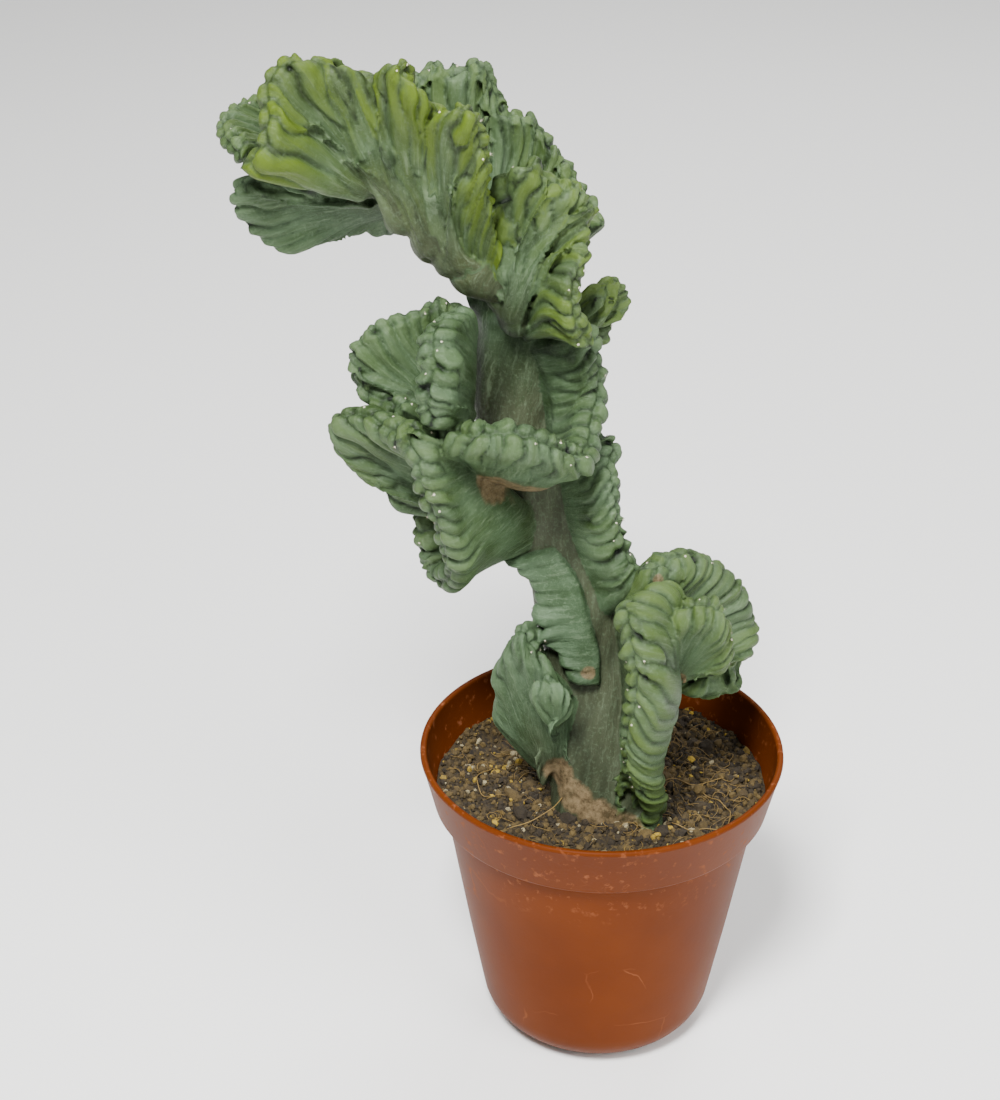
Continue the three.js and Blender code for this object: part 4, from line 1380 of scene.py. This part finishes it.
class PotSettings(bpy.types.PropertyGroup):
    """Colours of the pot."""

    colour: colour_setting("Colour", "5D2A06", "Terracotta colour of the plastic")
    dark: colour_setting("Dark", "522304", "Deeper cloud in the plastic")


class SoilSettings(bpy.types.PropertyGroup):
    """How much lies on the soil."""

    grains: bpy.props.IntProperty(
        name="Grains", description="Number of small grains", default=6000, min=0, max=8000,
    )
    stones: bpy.props.IntProperty(
        name="Stones", description="Number of larger stones", default=95, min=0, max=600,
    )


class StageSettings(bpy.types.PropertyGroup):
    """Camera and floor."""

    lens: bpy.props.FloatProperty(
        name="Lens", description="Focal length on a 36 mm sensor, in millimetres", default=75.3,
    )
    floor_size: bpy.props.FloatProperty(
        name="Floor", description="Side of the floor", default=4.0, unit="LENGTH",
    )


# ---- operators --------------------------------------------------------------------------
class MassMaker:
    """What the operators of the plant's masses share; mass is the piece's name."""

    def execute(self, context):
        settings = context.scene.cactus_plant
        mass = plant_mass(self.mass, settings)
        finish_piece(mass, skin_material(settings), "cactus_skin", "crested_stem")
        return {"FINISHED"}


class PLANT_OT_crown(MassMaker, bpy.types.Operator):
    """Makes the big folded crest at the plant's top"""

    bl_idname = "cactus.crown"
    bl_label = "Top crest"
    mass = "cactus_crown"


class PLANT_OT_crown_back(MassMaker, bpy.types.Operator):
    """Makes the crests behind and to the right of the top crest"""

    bl_idname = "cactus.crown_back"
    bl_label = "Rear crests"
    mass = "cactus_crown_back"


class PLANT_OT_middle(MassMaker, bpy.types.Operator):
    """Makes the fans and rolls half way up"""

    bl_idname = "cactus.middle"
    bl_label = "Middle crests"
    mass = "cactus_middle"


class PLANT_OT_base(MassMaker, bpy.types.Operator):
    """Makes the foot of the plant with its lobes and arm"""

    bl_idname = "cactus.base"
    bl_label = "Lower crests"
    mass = "cactus_base"


class PLANT_OT_areoles(bpy.types.Operator):
    """Sets the woolly areoles and their short spines on the ribs"""

    bl_idname = "cactus.areoles"
    bl_label = "Areoles and spines"

    def execute(self, context):
        areoles = areole_places()
        finish_piece(wool_pads(*areoles), wool_material(), "cactus_skin")
        finish_piece(spine_sets(*areoles), spine_material(), "cactus_skin")
        return {"FINISHED"}


class POT_OT_pot(bpy.types.Operator):
    """Makes the nursery pot with its rolled lip, collar and drain holes"""

    bl_idname = "cactus.pot"
    bl_label = "Pot"

    def execute(self, context):
        pot = make_pot()
        drill_drains(pot)
        select_only(pot)
        bpy.ops.object.shade_smooth_by_angle(angle=math.radians(35))
        finish_piece(pot, pot_material(context.scene.cactus_pot), "pot_plastic", "pot")
        return {"FINISHED"}


class SOIL_OT_soil(bpy.types.Operator):
    """Makes the crumbly soil"""

    bl_idname = "cactus.soil"
    bl_label = "Soil"

    def execute(self, context):
        finish_piece(make_soil(), soil_material(), "gritty_soil", "soil")
        return {"FINISHED"}


class SOIL_OT_grit(bpy.types.Operator):
    """Strews grit and stones on the soil"""

    bl_idname = "cactus.grit"
    bl_label = "Grit"

    def execute(self, context):
        settings = context.scene.cactus_soil
        material = grit_material()
        grains = settings.grains
        for name, count, small, large, subdivisions, seed in (
            ("grit_grains", grains, 0.4, 1.5, 1, 31),
            ("grit_stones", settings.stones, 1.3, 3.1, 2, 32),
        ):
            grit = make_grit(name, count, small, large, subdivisions, seed)
            finish_piece(grit, material, "gritty_soil")
        return {"FINISHED"}


class SOIL_OT_fibres(bpy.types.Operator):
    """Lays fine roots and fibres on the soil"""

    bl_idname = "cactus.fibres"
    bl_label = "Roots and fibres"

    def execute(self, context):
        finish_piece(make_fibres(), fibre_material(), "gritty_soil")
        return {"FINISHED"}


class STAGE_OT_set(bpy.types.Operator):
    """Sets the floor, the soft lights and the camera"""

    bl_idname = "cactus.stage"
    bl_label = "Stage"

    def execute(self, context):
        settings = context.scene.cactus_stage
        bpy.ops.object.select_all(action="DESELECT")
        bpy.ops.mesh.primitive_plane_add(size=settings.floor_size, location=(0, 0, -FLOOR_DROP))
        floor = context.object
        floor.name = "floor"
        # white paper: pale and quite matt
        material, tree, shader, _ = new_material("matt_white_paper")
        set_shader(tree, shader, Base_Color=to_linear("FAFAF8"), Roughness=0.9)
        floor.data.materials.append(material)

        world = bpy.data.worlds.new("studio")
        context.scene.world = world
        world.use_nodes = True
        background = world.node_tree.nodes["Background"]
        background.inputs["Color"].default_value = to_linear("FFFFFF")
        background.inputs["Strength"].default_value = WORLD_STRENGTH

        for name, place, size, power in LIGHTS:
            light = bpy.data.lights.new(name, "AREA")
            light.size = size
            light.energy = power
            lamp = bpy.data.objects.new(name, light)
            lamp.location = place
            way = Vector(LIT_PLACE) - Vector(place)
            lamp.rotation_euler = way.to_track_quat("-Z", "Y").to_euler()
            context.scene.collection.objects.link(lamp)

        camera = bpy.data.cameras.new("camera")
        camera.lens = settings.lens
        camera.sensor_width = 36
        camera.clip_start = 0.01
        view = bpy.data.objects.new("camera", camera)
        view.location = CAMERA_PLACE
        view.rotation_euler = (math.radians(90 - CAMERA_DOWN), 0, 0)
        context.scene.collection.objects.link(view)
        context.scene.camera = view
        return {"FINISHED"}


class VIEW3D_PT_cactus(bpy.types.Panel):
    """Lists the cactus's pieces"""

    bl_label = "Crested cactus"
    bl_space_type = "VIEW_3D"
    bl_region_type = "UI"
    bl_category = "Cactus"

    def draw(self, context):
        for operator in OPERATORS:
            self.layout.operator(operator.bl_idname)


# in the order in which they run
OPERATORS = (
    PLANT_OT_crown, PLANT_OT_crown_back, PLANT_OT_middle, PLANT_OT_base, PLANT_OT_areoles,
    POT_OT_pot, SOIL_OT_soil, SOIL_OT_grit, SOIL_OT_fibres, STAGE_OT_set,
)
SETTINGS = {
    "cactus_plant": PlantSettings, "cactus_pot": PotSettings, "cactus_soil": SoilSettings,
    "cactus_stage": StageSettings,
}
CLASSES = tuple(SETTINGS.values()) + OPERATORS + (VIEW3D_PT_cactus,)


def register():
    for item in CLASSES:
        bpy.utils.register_class(item)
    for name, group in SETTINGS.items():
        setattr(bpy.types.Scene, name, bpy.props.PointerProperty(type=group))


def unregister():
    for name in SETTINGS:
        delattr(bpy.types.Scene, name)
    for item in reversed(CLASSES):
        bpy.utils.unregister_class(item)


def main():
    """Makes every piece in order."""
    register()
    bpy.ops.cactus.crown()
    bpy.ops.cactus.crown_back()
    bpy.ops.cactus.middle()
    bpy.ops.cactus.base()
    bpy.ops.cactus.areoles()
    bpy.ops.cactus.pot()
    bpy.ops.cactus.soil()
    bpy.ops.cactus.grit()
    bpy.ops.cactus.fibres()
    bpy.ops.cactus.stage()


if __name__ == "__main__":
    main()
